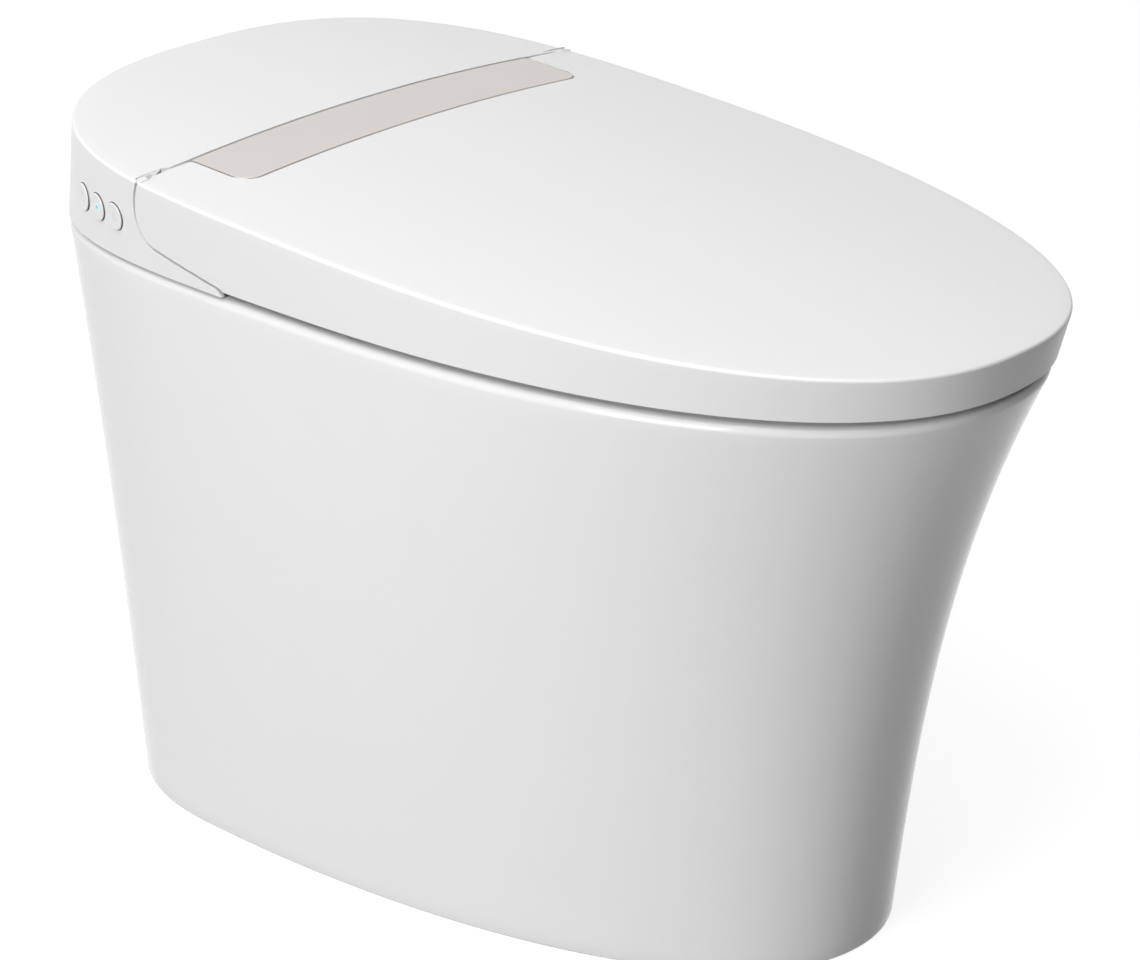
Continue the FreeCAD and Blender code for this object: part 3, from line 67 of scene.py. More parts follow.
# ---- outlines and forms ----
@dataclass(frozen=True)
class Egg:
    """A closed outline of two half superellipses that share their widest place."""

    width: float
    widest: float
    front: float
    rear: float
    power_front: float
    power_rear: float

    def inset(self, gap: float) -> "Egg":
        """The outline moved in by a gap.

        Args:
            gap: distance inwards; a negative one grows the outline.

        Returns:
            The smaller outline, with the same powers.
        """
        return Egg(self.width - 2 * gap, self.widest, self.front - gap, self.rear - gap,
                   self.power_front, self.power_rear)

    def half_at(self, in_front: bool) -> tuple[float, float]:
        """Reach and power of the front or the rear half."""
        return (self.front, self.power_front) if in_front else (self.rear, self.power_rear)

    def point(self, turn: float, z: float = 0.0) -> Vector:
        """A point of the outline.

        Args:
            turn: parameter in radians; 0 points to the front, positive towards +X.
            z: height of the point.

        Returns:
            The point.
        """
        reach, power = self.half_at(cos(turn) > 0)
        across = copysign(abs(sin(turn)) ** (2 / power), sin(turn))
        along = copysign(abs(cos(turn)) ** (2 / power), cos(turn))
        return Vector((self.width / 2 * across, self.widest - reach * along, z))

    def turns(self, count: int) -> list[float]:
        """Turns whose points lie at even angles as seen from the widest place.

        Args:
            count: how many turns.

        Returns:
            The turns, in order.
        """
        found = []
        for angle in around(count):
            reach, power = self.half_at(cos(angle) > 0)
            across = abs(sin(angle) / (self.width / 2)) ** (power / 2)
            along = abs(cos(angle) / reach) ** (power / 2)
            found.append(atan2(copysign(across, sin(angle)),
                                    copysign(along, cos(angle))))
        return found

    def inside(self, x: float, y: float) -> bool:
        """Whether a place lies within the outline."""
        reach, power = self.half_at(y < self.widest)
        return abs(2 * x / self.width) ** power + abs((y - self.widest) / reach) ** power < 1


FLOOR_LINE = Egg(0.3502, 0.1704, 0.4239, 0.1552, 2.105, 2.33)
RIM_LINE = Egg(0.3910, 0.0541, 0.3996, 0.2978, 2.239, 3.582)
PLAN_LINE = Egg(0.4110, 0.0849, 0.4466, 0.2627, 2.473, 2.835)
AROUND = 384


def around(count: int, ends: int = 0) -> list[float]:
    """Even angles round a circle, with so many more at its end."""
    return [2 * pi * step / count for step in range(count + ends)]


def corner_arc(start: Vector, corner: Vector, end: Vector, steps: int) -> list[Vector]:
    """Points of a rounded corner between two tangent points.

    Args:
        start: tangent point before the corner.
        corner: the sharp corner.
        end: tangent point after the corner.
        steps: how many spans the rounding has.

    Returns:
        The points from start to end, both included.
    """
    into, out = (corner - start).normalized(), (end - corner).normalized()
    weight = cos(into.angle(out, 0.0) / 2)
    points = []
    for step in range(steps + 1):
        share = step / steps
        near, middle, far = (1 - share) ** 2, 2 * share * (1 - share) * weight, share ** 2
        points.append((start * near + corner * middle + end * far) / (near + middle + far))
    return points


@dataclass(frozen=True)
class UpperForm:
    """The common outer form of the lid and the rear housing: a flat-ruled wall and a crowned top."""

    rim_z: float = 0.401
    plan_z: float = 0.480
    top_z: float = 0.4615
    top_slope: float = 0.066
    radius_long: float = 12.5
    radius_cross: float = 1.9
    edge_round: float = 0.0022
    pole_y: float = -0.06

    def wall(self, turn: float, z: float, inset: float = 0.0) -> Vector:
        """A point of the wall.

        Args:
            turn: turn of the outline.
            z: height.
            inset: distance inwards from the outer wall.

        Returns:
            The point.
        """
        share = (z - self.rim_z) / (self.plan_z - self.rim_z)
        low, high = RIM_LINE.inset(inset).point(turn), PLAN_LINE.inset(inset).point(turn)
        here = low.lerp(high, share)
        return Vector((here.x, here.y, z))

    def top(self, x: float, y: float, drop: float = 0.0) -> float:
        """Height of the crowned top above a place, lowered by drop."""
        return (self.top_z + self.top_slope * y - y * y / (2 * self.radius_long)
                - x * x / (2 * self.radius_cross) - drop)

    def edge(self, turn: float) -> Vector:
        """The sharp corner where the wall meets the crowned top."""
        z = 0.45
        for _ in range(12):
            here = self.wall(turn, z)
            z = self.top(here.x, here.y)
        return self.wall(turn, z)

    def rings(self, low: float) -> list[Ring]:
        """Closed rings of the skin, up the wall, round the edge and in over the top.

        Args:
            low: height of the lowest ring.

        Returns:
            The rings from the bottom to the one nearest the pole.
        """
        wall_rows, round_steps, top_rings, length = 9, 6, 34, self.edge_round
        columns = []
        for turn in RIM_LINE.turns(AROUND):
            corner = self.edge(turn)
            start = self.wall(turn, corner.z - length)
            column = [self.wall(turn, low + (start.z - low) * row / wall_rows) for row in range(wall_rows)]
            inwards = Vector((-corner.x, self.pole_y - corner.y, 0.0))
            reach = inwards.length

            def over(distance: float) -> Vector:
                """The point of the top so far in from the corner."""
                place = corner + inwards * (distance / reach)
                return Vector((place.x, place.y, self.top(place.x, place.y)))

            column += corner_arc(start, corner, over(length), round_steps)
            for ring in range(1, top_rings):
                share = ring / top_rings
                column.append(over(length + (reach - length) * share))
            columns.append(column)
        return [[column[row] for column in columns] for row in range(len(columns[0]))]

    def pole(self) -> Vector:
        """The point of the top that its rings close on."""
        return Vector((0.0, self.pole_y, self.top(0.0, self.pole_y)))


@dataclass(frozen=True)
class Seam:
    """The joint between the lid and the rear housing, as seen from the side."""

    straight_y: float = 0.1841
    middle_z: float = 0.438
    upper_y: float = 0.1462
    upper_radius: float = 0.0454
    lower_radius: float = 0.020
    wing_slope: float = radians(10.6)
    tip_y: float = 0.112
    gap: float = 0.002

    @property
    def lower_y(self) -> float:
        """Y of the middle of the lower arc."""
        return self.upper_y + self.upper_radius - self.lower_radius

    def side(self, point: Vector) -> float:
        """Signed distance to the seam.

        Args:
            point: a point; its x doesn't matter.

        Returns:
            The distance, positive on the housing's side.
        """
        y, z = point.y, point.z
        if z >= self.middle_z:
            return min(y - self.straight_y,
                       hypot(y - self.upper_y, z - self.middle_z) - self.upper_radius)
        across, up = y - self.lower_y, z - self.middle_z
        if across * cos(self.wing_slope) + up * sin(self.wing_slope) > 0:
            return hypot(across, up) - self.lower_radius
        below = across * sin(self.wing_slope) - up * cos(self.wing_slope) - self.lower_radius
        return min(below, y - self.tip_y)

    def profile(self, gap: float, steps: int = 20) -> list[tuple[float, float]]:
        """Y and z along the seam from the top down to the foot of the lower arc.

        Args:
            gap: distance into the housing.
            steps: spans of each arc.

        Returns:
            The (y, z) pairs.
        """
        high, low = self.upper_radius + gap, self.lower_radius + gap
        kink = acos(min(1.0, (self.straight_y + gap - self.upper_y) / high))
        pairs = []
        for step in range(steps + 1):
            angle = kink * (1 - step / steps)
            pairs.append((self.upper_y + high * cos(angle), self.middle_z + high * sin(angle)))
        foot = -pi / 2
        for step in range(1, steps + 1):
            angle = foot * step / steps
            pairs.append((self.lower_y + low * cos(angle), self.middle_z + low * sin(angle)))
        return pairs


UPPER = UpperForm()
SEAM = Seam()


@dataclass(frozen=True)
class TrimPlan:
    """The trim strip's plan: a rectangle whose two front corners are rounded."""

    half: float = 0.1537
    front: float = 0.132
    rear: float = 0.1831
    corner: float = 0.012

    def outside(self, point: Vector) -> float:
        """Signed distance from the plan, which runs on without end to the rear.

        Args:
            point: a point; its z doesn't matter.

        Returns:
            The distance, positive outside.
        """
        across = abs(point.x) - (self.half - self.corner)
        ahead = (self.front + self.corner) - point.y
        if across > 0 and ahead > 0:
            return hypot(across, ahead) - self.corner
        return max(across, ahead) - self.corner


TRIM_PLAN = TrimPlan()


# ---- mesh helpers ----
def skin(rings: Sequence[Ring], first_pole: Optional[Vector] = None,
         last_pole: Optional[Vector] = None) -> BMesh:
    """Quads between closed rings of equal length, and fans to the poles.

    Args:
        rings: rings whose points follow each other.
        first_pole: point that closes the first ring, if any.
        last_pole: point that closes the last ring, if any.

    Returns:
        The surface, with its faces turned outwards for rings that run upwards.
    """
    mesh = bmesh.new()
    rows = [[mesh.verts.new(point) for point in ring] for ring in rings]
    count = len(rows[0])
    for low, high in zip(rows, rows[1:]):
        for here in range(count):
            after = (here + 1) % count
            mesh.faces.new((low[here], low[after], high[after], high[here]))
    for pole, row, flip in ((first_pole, rows[0], True), (last_pole, rows[-1], False)):
        if pole is None:
            continue
        middle = mesh.verts.new(pole)
        for here in range(count):
            after = (here + 1) % count
            corners = (row[here], row[after], middle)
            mesh.faces.new(corners[::-1] if flip else corners)
    return mesh


def sheet(rows: Sequence[Sequence[Vector]]) -> BMesh:
    """An open grid of quads.

    Args:
        rows: rows of equal length.

    Returns:
        The surface.
    """
    mesh = bmesh.new()
    grid = [[mesh.verts.new(point) for point in row] for row in rows]
    for low, high in zip(grid, grid[1:]):
        for here in range(len(low) - 1):
            mesh.faces.new((low[here], low[here + 1], high[here + 1], high[here]))
    return mesh


def crossing(start: Vector, end: Vector, distance: Distance) -> float:
    """Share of the way from start to end at which the distance turns from one sign to the other."""
    low, high, sign = 0.0, 1.0, distance(start) > 0
    for _ in range(18):
        middle = (low + high) / 2
        if (distance(start.lerp(end, middle)) > 0) == sign:
            low = middle
        else:
            high = middle
    return (low + high) / 2


def trim_away(mesh: BMesh, distance: Distance, snap: float = 0.35) -> None:
    """Take away the part of a surface where a distance is positive, with a clean new border.

    Args:
        mesh: the surface, changed in place.
        distance: signed distance of a point; the border follows its zero.
        snap: share of an edge within which its end moves onto the border instead of the edge splitting.
    """
    value = {vertex: distance(vertex.co) for vertex in mesh.verts}
    moves: dict[bmesh.types.BMVert, tuple[float, Vector]] = {}
    for edge in mesh.edges:
        start, end = edge.verts
        if value[start] * value[end] >= 0:
            continue
        share = crossing(start.co, end.co, distance)
        place = start.co.lerp(end.co, share)
        for vertex, way in ((start, share), (end, 1 - share)):
            shift = (place - vertex.co).length
            if way < snap and (vertex not in moves or shift < moves[vertex][0]):
                moves[vertex] = (shift, place)
    for vertex, (_, place) in moves.items():
        vertex.co = place
        value[vertex] = 0.0
    border = {vertex for vertex, number in value.items() if number == 0.0}
    for edge in list(mesh.edges):
        start, end = edge.verts
        if value[start] * value[end] >= 0:
            continue
        share = crossing(start.co, end.co, distance)
        place = start.co.lerp(end.co, share)
        _, added = bmesh.utils.edge_split(edge, start, share)
        added.co = place
        value[added] = 0.0
        border.add(added)
    bmesh.ops.connect_verts(mesh, verts=list(border))
    gone = [face for face in mesh.faces if sum(value[vertex] for vertex in face.verts) > 1e-9]
    bmesh.ops.delete(mesh, geom=gone, context="FACES")
    loose = [vertex for vertex in mesh.verts if not vertex.link_faces]
    bmesh.ops.delete(mesh, geom=loose, context="VERTS")


def as_object(name: str, mesh: BMesh) -> Object:
    """Turn a bmesh into an object of the scene.

    Args:
        name: name of the piece.
        mesh: its surface, freed afterwards.

    Returns:
        The object, at the origin.
    """
    data = bpy.data.meshes.new(name)
    mesh.to_mesh(data)
    mesh.free()
    thing = bpy.data.objects.new(name, data)
    bpy.context.scene.collection.objects.link(thing)
    return thing


def settle(thing: Object) -> Object:
    """Replace an object's mesh by its evaluated one, and remove its modifiers.

    Args:
        thing: the object.

    Returns:
        The same object, with a plain mesh.
    """
    graph = bpy.context.evaluated_depsgraph_get()
    data = bpy.data.meshes.new_from_object(thing.evaluated_get(graph))
    data.name = thing.name
    thing.modifiers.clear()
    thing.data = data
    return thing


def thicken(thing: Object, wall: float, edge: float, steps: int = 3) -> Object:
    """Give an open skin its wall inwards, and round its rim.

    Args:
        thing: the skin, its faces outwards.
        wall: thickness of the wall.
        edge: radius of the rim's rounding, or 0 for none.
        steps: spans of the rounding.

    Returns:
        The same object, closed.
    """
    solid = thing.modifiers.new("wall", "SOLIDIFY")
    solid.thickness, solid.offset = wall, -1.0
    solid.use_even_offset = False
    solid.use_quality_normals = True
    if edge:
        round_off(thing, edge, steps)
    return settle(thing)


def round_off(thing: Object, width: float, steps: int = 3, above: float = 55.0) -> None:
    """Add a bevel to every edge that turns by more than an angle."""
    bevel = thing.modifiers.new("edges", "BEVEL")
    bevel.limit_method, bevel.angle_limit = "ANGLE", radians(above)
    bevel.width, bevel.segments = width, steps
    bevel.use_clamp_overlap = True
    bevel.harden_normals = False


def smooth(thing: Object, angle: float = 36.0) -> Object:
    """Shade a piece smooth, with sharp edges where it turns by more than an angle.

    Args:
        thing: the piece.
        angle: the angle in degrees.

    Returns:
        The same piece.
    """
    mesh = bmesh.new()
    mesh.from_mesh(thing.data)
    for face in mesh.faces:
        face.smooth = True
    for edge in mesh.edges:
        turn = edge.calc_face_angle(0.0) if len(edge.link_faces) == 2 else pi
        edge.smooth = turn < radians(angle)
    mesh.to_mesh(thing.data)
    mesh.free()
    return thing


def weigh_normals(thing: Object) -> Object:
    """Let the large faces lead the shading beside small roundings."""
    weighted = thing.modifiers.new("normals", "WEIGHTED_NORMAL")
    weighted.keep_sharp = True
    weighted.weight = 60
    return settle(thing)


def turned(name: str, profile: Sequence[tuple[float, float]], place: Matrix,
           steps: int = 64) -> Object:
    """A closed solid of revolution about its own Z axis.

    Args:
        name: name of the piece.
        profile: (radius, height) pairs from the lowest pole to the highest; the first and last lie
            on the axis.
        place: where the piece goes.
        steps: points around.

    Returns:
        The object.
    """
    rings = []
    for radius, height in profile[1:-1]:
        rings.append([place @ Vector((radius * cos(angle), radius * sin(angle), height))
                      for angle in around(steps)])
    poles = [place @ Vector((0.0, 0.0, profile[end][1])) for end in (0, -1)]
    return smooth(as_object(name, skin(rings, poles[0], poles[1])))


def rounded_profile(corners: Sequence[tuple[float, float]], radius: float,
                    steps: int = 4) -> list[tuple[float, float]]:
    """A profile whose inner corners are rounded.

    Args:
        corners: (radius, height) corners.
        radius: radius of the rounding.
        steps: spans of each rounding.

    Returns:
        The denser profile, with the same ends.
    """
    points = [Vector((across, up, 0.0)) for across, up in corners]
    result = [corners[0]]
    for before, corner, after in zip(points, points[1:], points[2:]):
        reach = min(radius, (before - corner).length * 0.45, (after - corner).length * 0.45)
        start = corner + (before - corner).normalized() * reach
        end = corner + (after - corner).normalized() * reach
        result += [(point.x, point.y) for point in corner_arc(start, corner, end, steps)]
    result.append(corners[-1])
    return result


def ray_outline(middle: Vector, inside: Callable[[float, float], bool], count: int) -> list[Vector]:
    """An outline seen from a place within it, at even angles that start at the front.

    Args:
        middle: the place.
        inside: whether an x, y lies within the outline.
        count: how many points.

    Returns:
        The points, at height 0.
    """
    points = []
    for angle in around(count):
        way = Vector((sin(angle), -cos(angle), 0.0))
        near, far = 0.0, 0.8
        for _ in range(32):
            reach = (near + far) / 2
            place = middle + way * reach
            near, far = (reach, far) if inside(place.x, place.y) else (near, reach)
        points.append(Vector((middle.x, middle.y, 0.0)) + way * near)
    return points


def round_corners(points: list[Vector], passes: int) -> list[Vector]:
    """Ease the corners of a closed outline by averaging neighbours.

    Args:
        points: the outline.
        passes: how often it is averaged.

    Returns:
        The eased outline.
    """
    for _ in range(passes):
        points = [(points[index - 1] + here * 2 + points[(index + 1) % len(points)]) / 4
                  for index, here in enumerate(points)]
    return points


def prism(name: str, outline: Sequence[tuple[float, float]], low: float, high: float) -> Object:
    """A solid whose side view is an outline.

    Args:
        name: name of the piece.
        outline: (y, z) corners.
        low: least x.
        high: greatest x.

    Returns:
        The object, faces outwards.
    """
    mesh = bmesh.new()
    near = [mesh.verts.new((low, y, z)) for y, z in outline]
    far = [mesh.verts.new((high, y, z)) for y, z in outline]
    mesh.faces.new(near)
    mesh.faces.new(far[::-1])
    for index in range(len(outline)):
        after = (index + 1) % len(outline)
        mesh.faces.new((near[index], far[index], far[after], near[after]))
    bmesh.ops.recalc_face_normals(mesh, faces=mesh.faces)
    return as_object(name, mesh)


def tube(name: str, path: Sequence[Vector], radius: float, steps: int = 48) -> Object:
    """A closed tube with round ends along a path in the plane x = 0.

    Args:
        name: name of the piece.
        path: its centreline.
        radius: its radius.
        steps: points around.

    Returns:
        The object.
    """
    mesh = bmesh.new()
    for here, there in zip(path, path[1:]):
        along = there - here
        turn = along.to_track_quat("Z", "Y").to_matrix().to_4x4()
        part = bmesh.ops.create_cone(mesh, cap_ends=True, segments=steps, radius1=radius,
                                     radius2=radius, depth=along.length)
        bmesh.ops.transform(mesh, verts=part["verts"],
                            matrix=Matrix.Translation((here + there) / 2) @ turn)
    thing = as_object(name, mesh)
    return thing


def mirrored(thing: Object) -> Object:
    """A copy of a piece on the other side of the middle plane."""
    mesh = bmesh.new()
    mesh.from_mesh(thing.data)
    for vertex in mesh.verts:
        vertex.co.x = -vertex.co.x
    bmesh.ops.reverse_faces(mesh, faces=mesh.faces)
    return as_object(f"{thing.name}_far", mesh)


def boolean(thing: Object, tool: Object, kind: str = "DIFFERENCE") -> None:
    """Combine a piece with another solid.

    Args:
        thing: the piece, changed in place.
        tool: the other solid, which is used up.
        kind: DIFFERENCE, UNION or INTERSECT.
    """
    step = thing.modifiers.new("boolean", "BOOLEAN")
    step.operation, step.object, step.solver = kind, tool, "EXACT"
    settle(thing)
    bpy.data.objects.remove(tool)


class Skin:
    """A smooth closed form whose shading a cut piece can borrow."""

    def __init__(self, mesh: BMesh) -> None:
        """Keep the form's faces and its normals at their corners.

        Args:
            mesh: the form before any cut.
        """
        copy = mesh.copy()
        bmesh.ops.triangulate(copy, faces=copy.faces)
        copy.normal_update()
        copy.faces.ensure_lookup_table()
        self.tree = BVHTree.FromBMesh(copy)
        self.corners = [[(vertex.co.copy(), vertex.normal.copy()) for vertex in face.verts]
                        for face in copy.faces]
        copy.free()

    def normal(self, point: Vector, reach: float) -> Optional[Vector]:
        """The form's smooth normal near a point.

        Args:
            point: the point.
            reach: how far from the form the point may lie.

        Returns:
            The normal, or None where the point is off the form.
        """
        place, _, index, _ = self.tree.find_nearest(point, reach)
        if place is None:
            return None
        (a, normal_a), (b, normal_b), (c, normal_c) = self.corners[index]
        whole = (b - a).cross(c - a).length
        if whole < 1e-14:
            return normal_a
        share_a = (b - place).cross(c - place).length / whole
        share_b = (c - place).cross(a - place).length / whole
        mixed = normal_a * share_a + normal_b * share_b + normal_c * max(0.0, 1 - share_a - share_b)
        return mixed.normalized()

    def lend(self, thing: Object, reach: float = 0.00003, spread: float = 48.0) -> None:
        """Shade the parts of a piece that lie on the form as the form is shaded.

        Args:
            thing: the piece.
            reach: how far from the form a corner may lie.
            spread: largest angle in degrees between a face and the normal that it takes.
        """
        data = thing.data
        limit = cos(radians(spread))
        found = [self.normal(vertex.co, reach) for vertex in data.vertices]
        normals = [corner.vector.copy() for corner in data.corner_normals]
        for face in data.polygons:
            for corner in face.loop_indices:
                normal = found[data.loops[corner].vertex_index]
                if normal is not None and normal.dot(face.normal) > limit:
                    normals[corner] = normal
        data.normals_split_custom_set(normals)


# ---- shader groups and finishes ----
class ShaderGroup:
    """A shader node group with named inputs and outputs."""

    def __init__(self, name: str, inputs: dict[str, tuple[str, object]], outputs: dict[str, str]) -> None:
        """Make the empty group.

        Args:
            name: its name.
            inputs: socket type and default value by name.
            outputs: socket type by name.
        """
        self.tree = bpy.data.node_groups.new(name, "ShaderNodeTree")
        for label, (kind, start) in inputs.items():
            socket = self.tree.interface.new_socket(label, in_out="INPUT", socket_type=kind)
            if start is not None:
                socket.default_value = start
        for label, kind in outputs.items():
            self.tree.interface.new_socket(label, in_out="OUTPUT", socket_type=kind)
        self.inlet = self.tree.nodes.new("NodeGroupInput").outputs
        self.outlet = self.tree.nodes.new("NodeGroupOutput").inputs

    def add(self, kind: str, inputs: Optional[dict] = None, **settings: object) -> Node:
        """A new node of the group, with its inputs and properties set."""
        return add_node(self.tree, kind, inputs, **settings)

    def give(self, outputs: dict[str, NodeSocket]) -> NodeTree:
        """Link the group's outputs, and return its tree."""
        for label, socket in outputs.items():
            self.tree.links.new(socket, self.outlet[label])
        return self.tree


def feed(node: Node, inputs: dict[object, object]) -> None:
    """Link each named input of a node to a socket, or set its value."""
    for label, given in inputs.items():
        if isinstance(given, NodeSocket):
            node.id_data.links.new(given, node.inputs[label])
        else:
            node.inputs[label].default_value = given


def add_node(tree: NodeTree, kind: str, inputs: Optional[dict] = None, **settings: object) -> Node:
    """Add a node to a tree.

    Args:
        tree: the tree.
        kind: the node's type.
        inputs: a socket or a value for each input, by name or number.
        settings: its properties.

    Returns:
        The node.
    """
    node = tree.nodes.new(kind)
    for name, setting in settings.items():
        setattr(node, name, setting)
    feed(node, inputs or {})
    return node


def moulded_group() -> NodeTree:
    """Slow waviness, fine grain and a faint change of shade, as every cast or moulded surface has.

    Returns:
        The group: Color, Roughness and Height from a position.
    """
    group = ShaderGroup("moulded_surface", {
        "Vector": ("NodeSocketVector", None), "Color": ("NodeSocketColor", (0.8, 0.8, 0.8, 1.0)),
        "Shade": ("NodeSocketColor", (0.7, 0.7, 0.7, 1.0)), "Wave Size": ("NodeSocketFloat", 9.0),
        "Grain Size": ("NodeSocketFloat", 900.0), "Grain": ("NodeSocketFloat", 0.3),
        "Smooth": ("NodeSocketFloat", 0.1), "Rough": ("NodeSocketFloat", 0.2),
    }, {"Color": "NodeSocketColor", "Roughness": "NodeSocketFloat", "Height": "NodeSocketFloat"})
    inlet = group.inlet
    wave, grain, blotch = (
        group.add("ShaderNodeTexNoise", {"Vector": inlet["Vector"], "Scale": scale, "Detail": detail},
                  noise_dimensions="3D").outputs["Fac"]
        for scale, detail in ((inlet["Wave Size"], 1.0), (inlet["Grain Size"], 2.0), (23.0, 4.0)))
    shade = group.add("ShaderNodeMix", {0: blotch, 6: inlet["Color"], 7: inlet["Shade"]},
                      data_type="RGBA")
    gloss = group.add("ShaderNodeMapRange", {"Value": blotch, "From Min": 0.3, "From Max": 0.7,
                                             "To Min": inlet["Smooth"], "To Max": inlet["Rough"]})
    fine = group.add("ShaderNodeMath", {0: grain, 1: inlet["Grain"], 2: wave}, operation="MULTIPLY_ADD")
    return group.give({"Color": shade.outputs[2], "Roughness": gloss.outputs["Result"],
                       "Height": fine.outputs["Value"]})


def dust_group() -> NodeTree:
    """A thin uneven film of dust on what faces up, for pieces inside the casings.

    Returns:
        The group: Color with the film on it, and a Mask of where it lies.
    """
    group = ShaderGroup("settled_dust", {
        "Vector": ("NodeSocketVector", None), "Color": ("NodeSocketColor", (0.5, 0.5, 0.5, 1.0)),
        "Amount": ("NodeSocketFloat", 0.2),
    }, {"Color": "NodeSocketColor", "Mask": "NodeSocketFloat"})
    surface = group.add("ShaderNodeNewGeometry")
    parts = group.add("ShaderNodeSeparateXYZ", {0: surface.outputs["Normal"]})
    upward = group.add("ShaderNodeMapRange", {"Value": parts.outputs["Z"], "From Min": 0.2,
                                              "From Max": 1.0})
    noise = group.add("ShaderNodeTexNoise", {"Vector": group.inlet["Vector"], "Scale": 60.0,
                                             "Detail": 5.0})
    lying = group.add("ShaderNodeMath", {0: upward.outputs["Result"], 1: noise.outputs["Fac"]},
                      operation="MULTIPLY")
    mask = group.add("ShaderNodeMath", {0: lying.outputs["Value"], 1: group.inlet["Amount"]},
                     operation="MULTIPLY").outputs["Value"]
    film = group.add("ShaderNodeMix", {0: mask, 6: group.inlet["Color"], 7: (0.55, 0.53, 0.50, 1.0)},
                     data_type="RGBA")
    return group.give({"Color": film.outputs[2], "Mask": mask})


class Pattern(Enum):
    """What a finish shows beyond its grain; each value is the method of Finish that makes it."""

    PLAIN = "plain"
    BRUSHED = "brushed"
    BRAID = "braid"
    CELLS = "cells"
    TRACKS = "tracks"
    CRUMPLED = "crumpled"


Colour = tuple[float, float, float]


@dataclass(frozen=True)
class Finish:
    """One finish of the toilet: its colours, gloss and the relief of its surface."""

    slot: str
    colour: Colour
    shade: Colour
    smooth: float
    rough: float
    metallic: float = 0.0
    coat: float = 0.0
    coat_roughness: float = 0.05
    transmission: float = 0.0
    specular: float = 0.5
    wave_size: float = 9.0
    grain_size: float = 900.0
    grain: float = 0.3
    relief: float = 0.00002
    dust: float = 0.0
    pattern: Pattern = Pattern.PLAIN
    second: Colour = (0.5, 0.5, 0.5)

    def build(self, moulded: NodeTree, dusty: NodeTree) -> Material:
        """Make the material.

        Args:
            moulded: the group for waviness and grain.
            dusty: the group for dust.

        Returns:
            The material.
        """
        material = bpy.data.materials.new(self.slot)
        material.use_nodes = True
        tree = material.node_tree
        where = add_node(tree, "ShaderNodeTexCoord").outputs["Object"]
        surface = add_node(tree, "ShaderNodeGroup", {
            "Vector": where, "Color": (*self.colour, 1.0), "Shade": (*self.shade, 1.0),
            "Wave Size": self.wave_size, "Grain Size": self.grain_size, "Grain": self.grain,
            "Smooth": self.smooth, "Rough": self.rough}, node_tree=moulded)
        colour, height = surface.outputs["Color"], surface.outputs["Height"]
        colour, height = self.patterned(tree, where, colour, height)
        if self.dust:
            film = {"Vector": where, "Color": colour, "Amount": self.dust}
            colour = add_node(tree, "ShaderNodeGroup", film, node_tree=dusty).outputs["Color"]
        bump = add_node(tree, "ShaderNodeBump", {"Distance": self.relief, "Strength": 1.0,
                                                 "Height": height})
        feed(tree.nodes["Principled BSDF"], {
            "Metallic": self.metallic, "Coat Weight": self.coat, "Coat Roughness": self.coat_roughness,
            "Transmission Weight": self.transmission, "Specular IOR Level": self.specular,
            "Base Color": colour, "Roughness": surface.outputs["Roughness"],
            "Normal": bump.outputs["Normal"]})
        return material

    def patterned(self, tree: NodeTree, where: NodeSocket,
                  colour: NodeSocket,
                  height: NodeSocket) -> tuple[NodeSocket, NodeSocket]:
        """Lay the finish's pattern over its colour and relief.

        Args:
            tree: the material's tree.
            where: the position.
            colour: the plain colour.
            height: the plain relief.

        Returns:
            The colour and relief to use.
        """
        if self.pattern is Pattern.PLAIN:
            return colour, height
        mask = getattr(self, self.pattern.value)(tree, where)
        mixed = add_node(tree, "ShaderNodeMix", {0: mask, 6: colour, 7: (*self.second, 1.0)},
                         data_type="RGBA")
        raised = add_node(tree, "ShaderNodeMath", {0: height, 1: mask}, operation="ADD")
        return mixed.outputs[2], raised.outputs["Value"]

    def stretched(self, tree: NodeTree, where: NodeSocket,
                  scale: Colour) -> NodeSocket:
        """The position, scaled apart along its axes."""
        return add_node(tree, "ShaderNodeMapping", {"Scale": scale, "Vector": where}).outputs["Vector"]

    def brushed(self, tree: NodeTree, where: NodeSocket) -> NodeSocket:
        """Hairlines along the X axis."""
        place = self.stretched(tree, where, (14.0, 2600.0, 2600.0))
        noise = add_node(tree, "ShaderNodeTexNoise", {"Scale": 1.0, "Detail": 3.0, "Vector": place})
        return noise.outputs["Fac"]

    def braid(self, tree: NodeTree, where: NodeSocket) -> NodeSocket:
        """Crossed strands of wire, from two slanted sets of bands."""
        masks = []
        for slant in (1.0, -1.0):
            place = self.stretched(tree, where, (420.0 * slant, 420.0, 420.0))
            wave = add_node(tree, "ShaderNodeTexWave", {"Scale": 1.0, "Vector": place},
                            bands_direction="DIAGONAL")
            masks.append(wave.outputs["Fac"])
        crossed = add_node(tree, "ShaderNodeMath", dict(enumerate(masks)), operation="MAXIMUM")
        return crossed.outputs["Value"]

    def cells(self, tree: NodeTree, where: NodeSocket) -> NodeSocket:
        """Open foam cells."""
        foam = add_node(tree, "ShaderNodeTexVoronoi", {"Scale": 420.0, "Vector": where},
                        feature="DISTANCE_TO_EDGE")
        edge = add_node(tree, "ShaderNodeMapRange", {"From Max": 0.16, "To Min": 1.0, "To Max": 0.0,
                                                     "Value": foam.outputs["Distance"]})
        return edge.outputs["Result"]

    def tracks(self, tree: NodeTree, where: NodeSocket) -> NodeSocket:
        """Copper tracks under a board's varnish."""
        bricks = add_node(tree, "ShaderNodeTexBrick", {
            "Scale": 55.0, "Mortar Size": 0.035, "Color1": (0.0, 0.0, 0.0, 1.0),
            "Color2": (0.12, 0.12, 0.12, 1.0), "Mortar": (0.8, 0.8, 0.8, 1.0), "Vector": where},
            offset=0.37)
        return bricks.outputs["Color"]

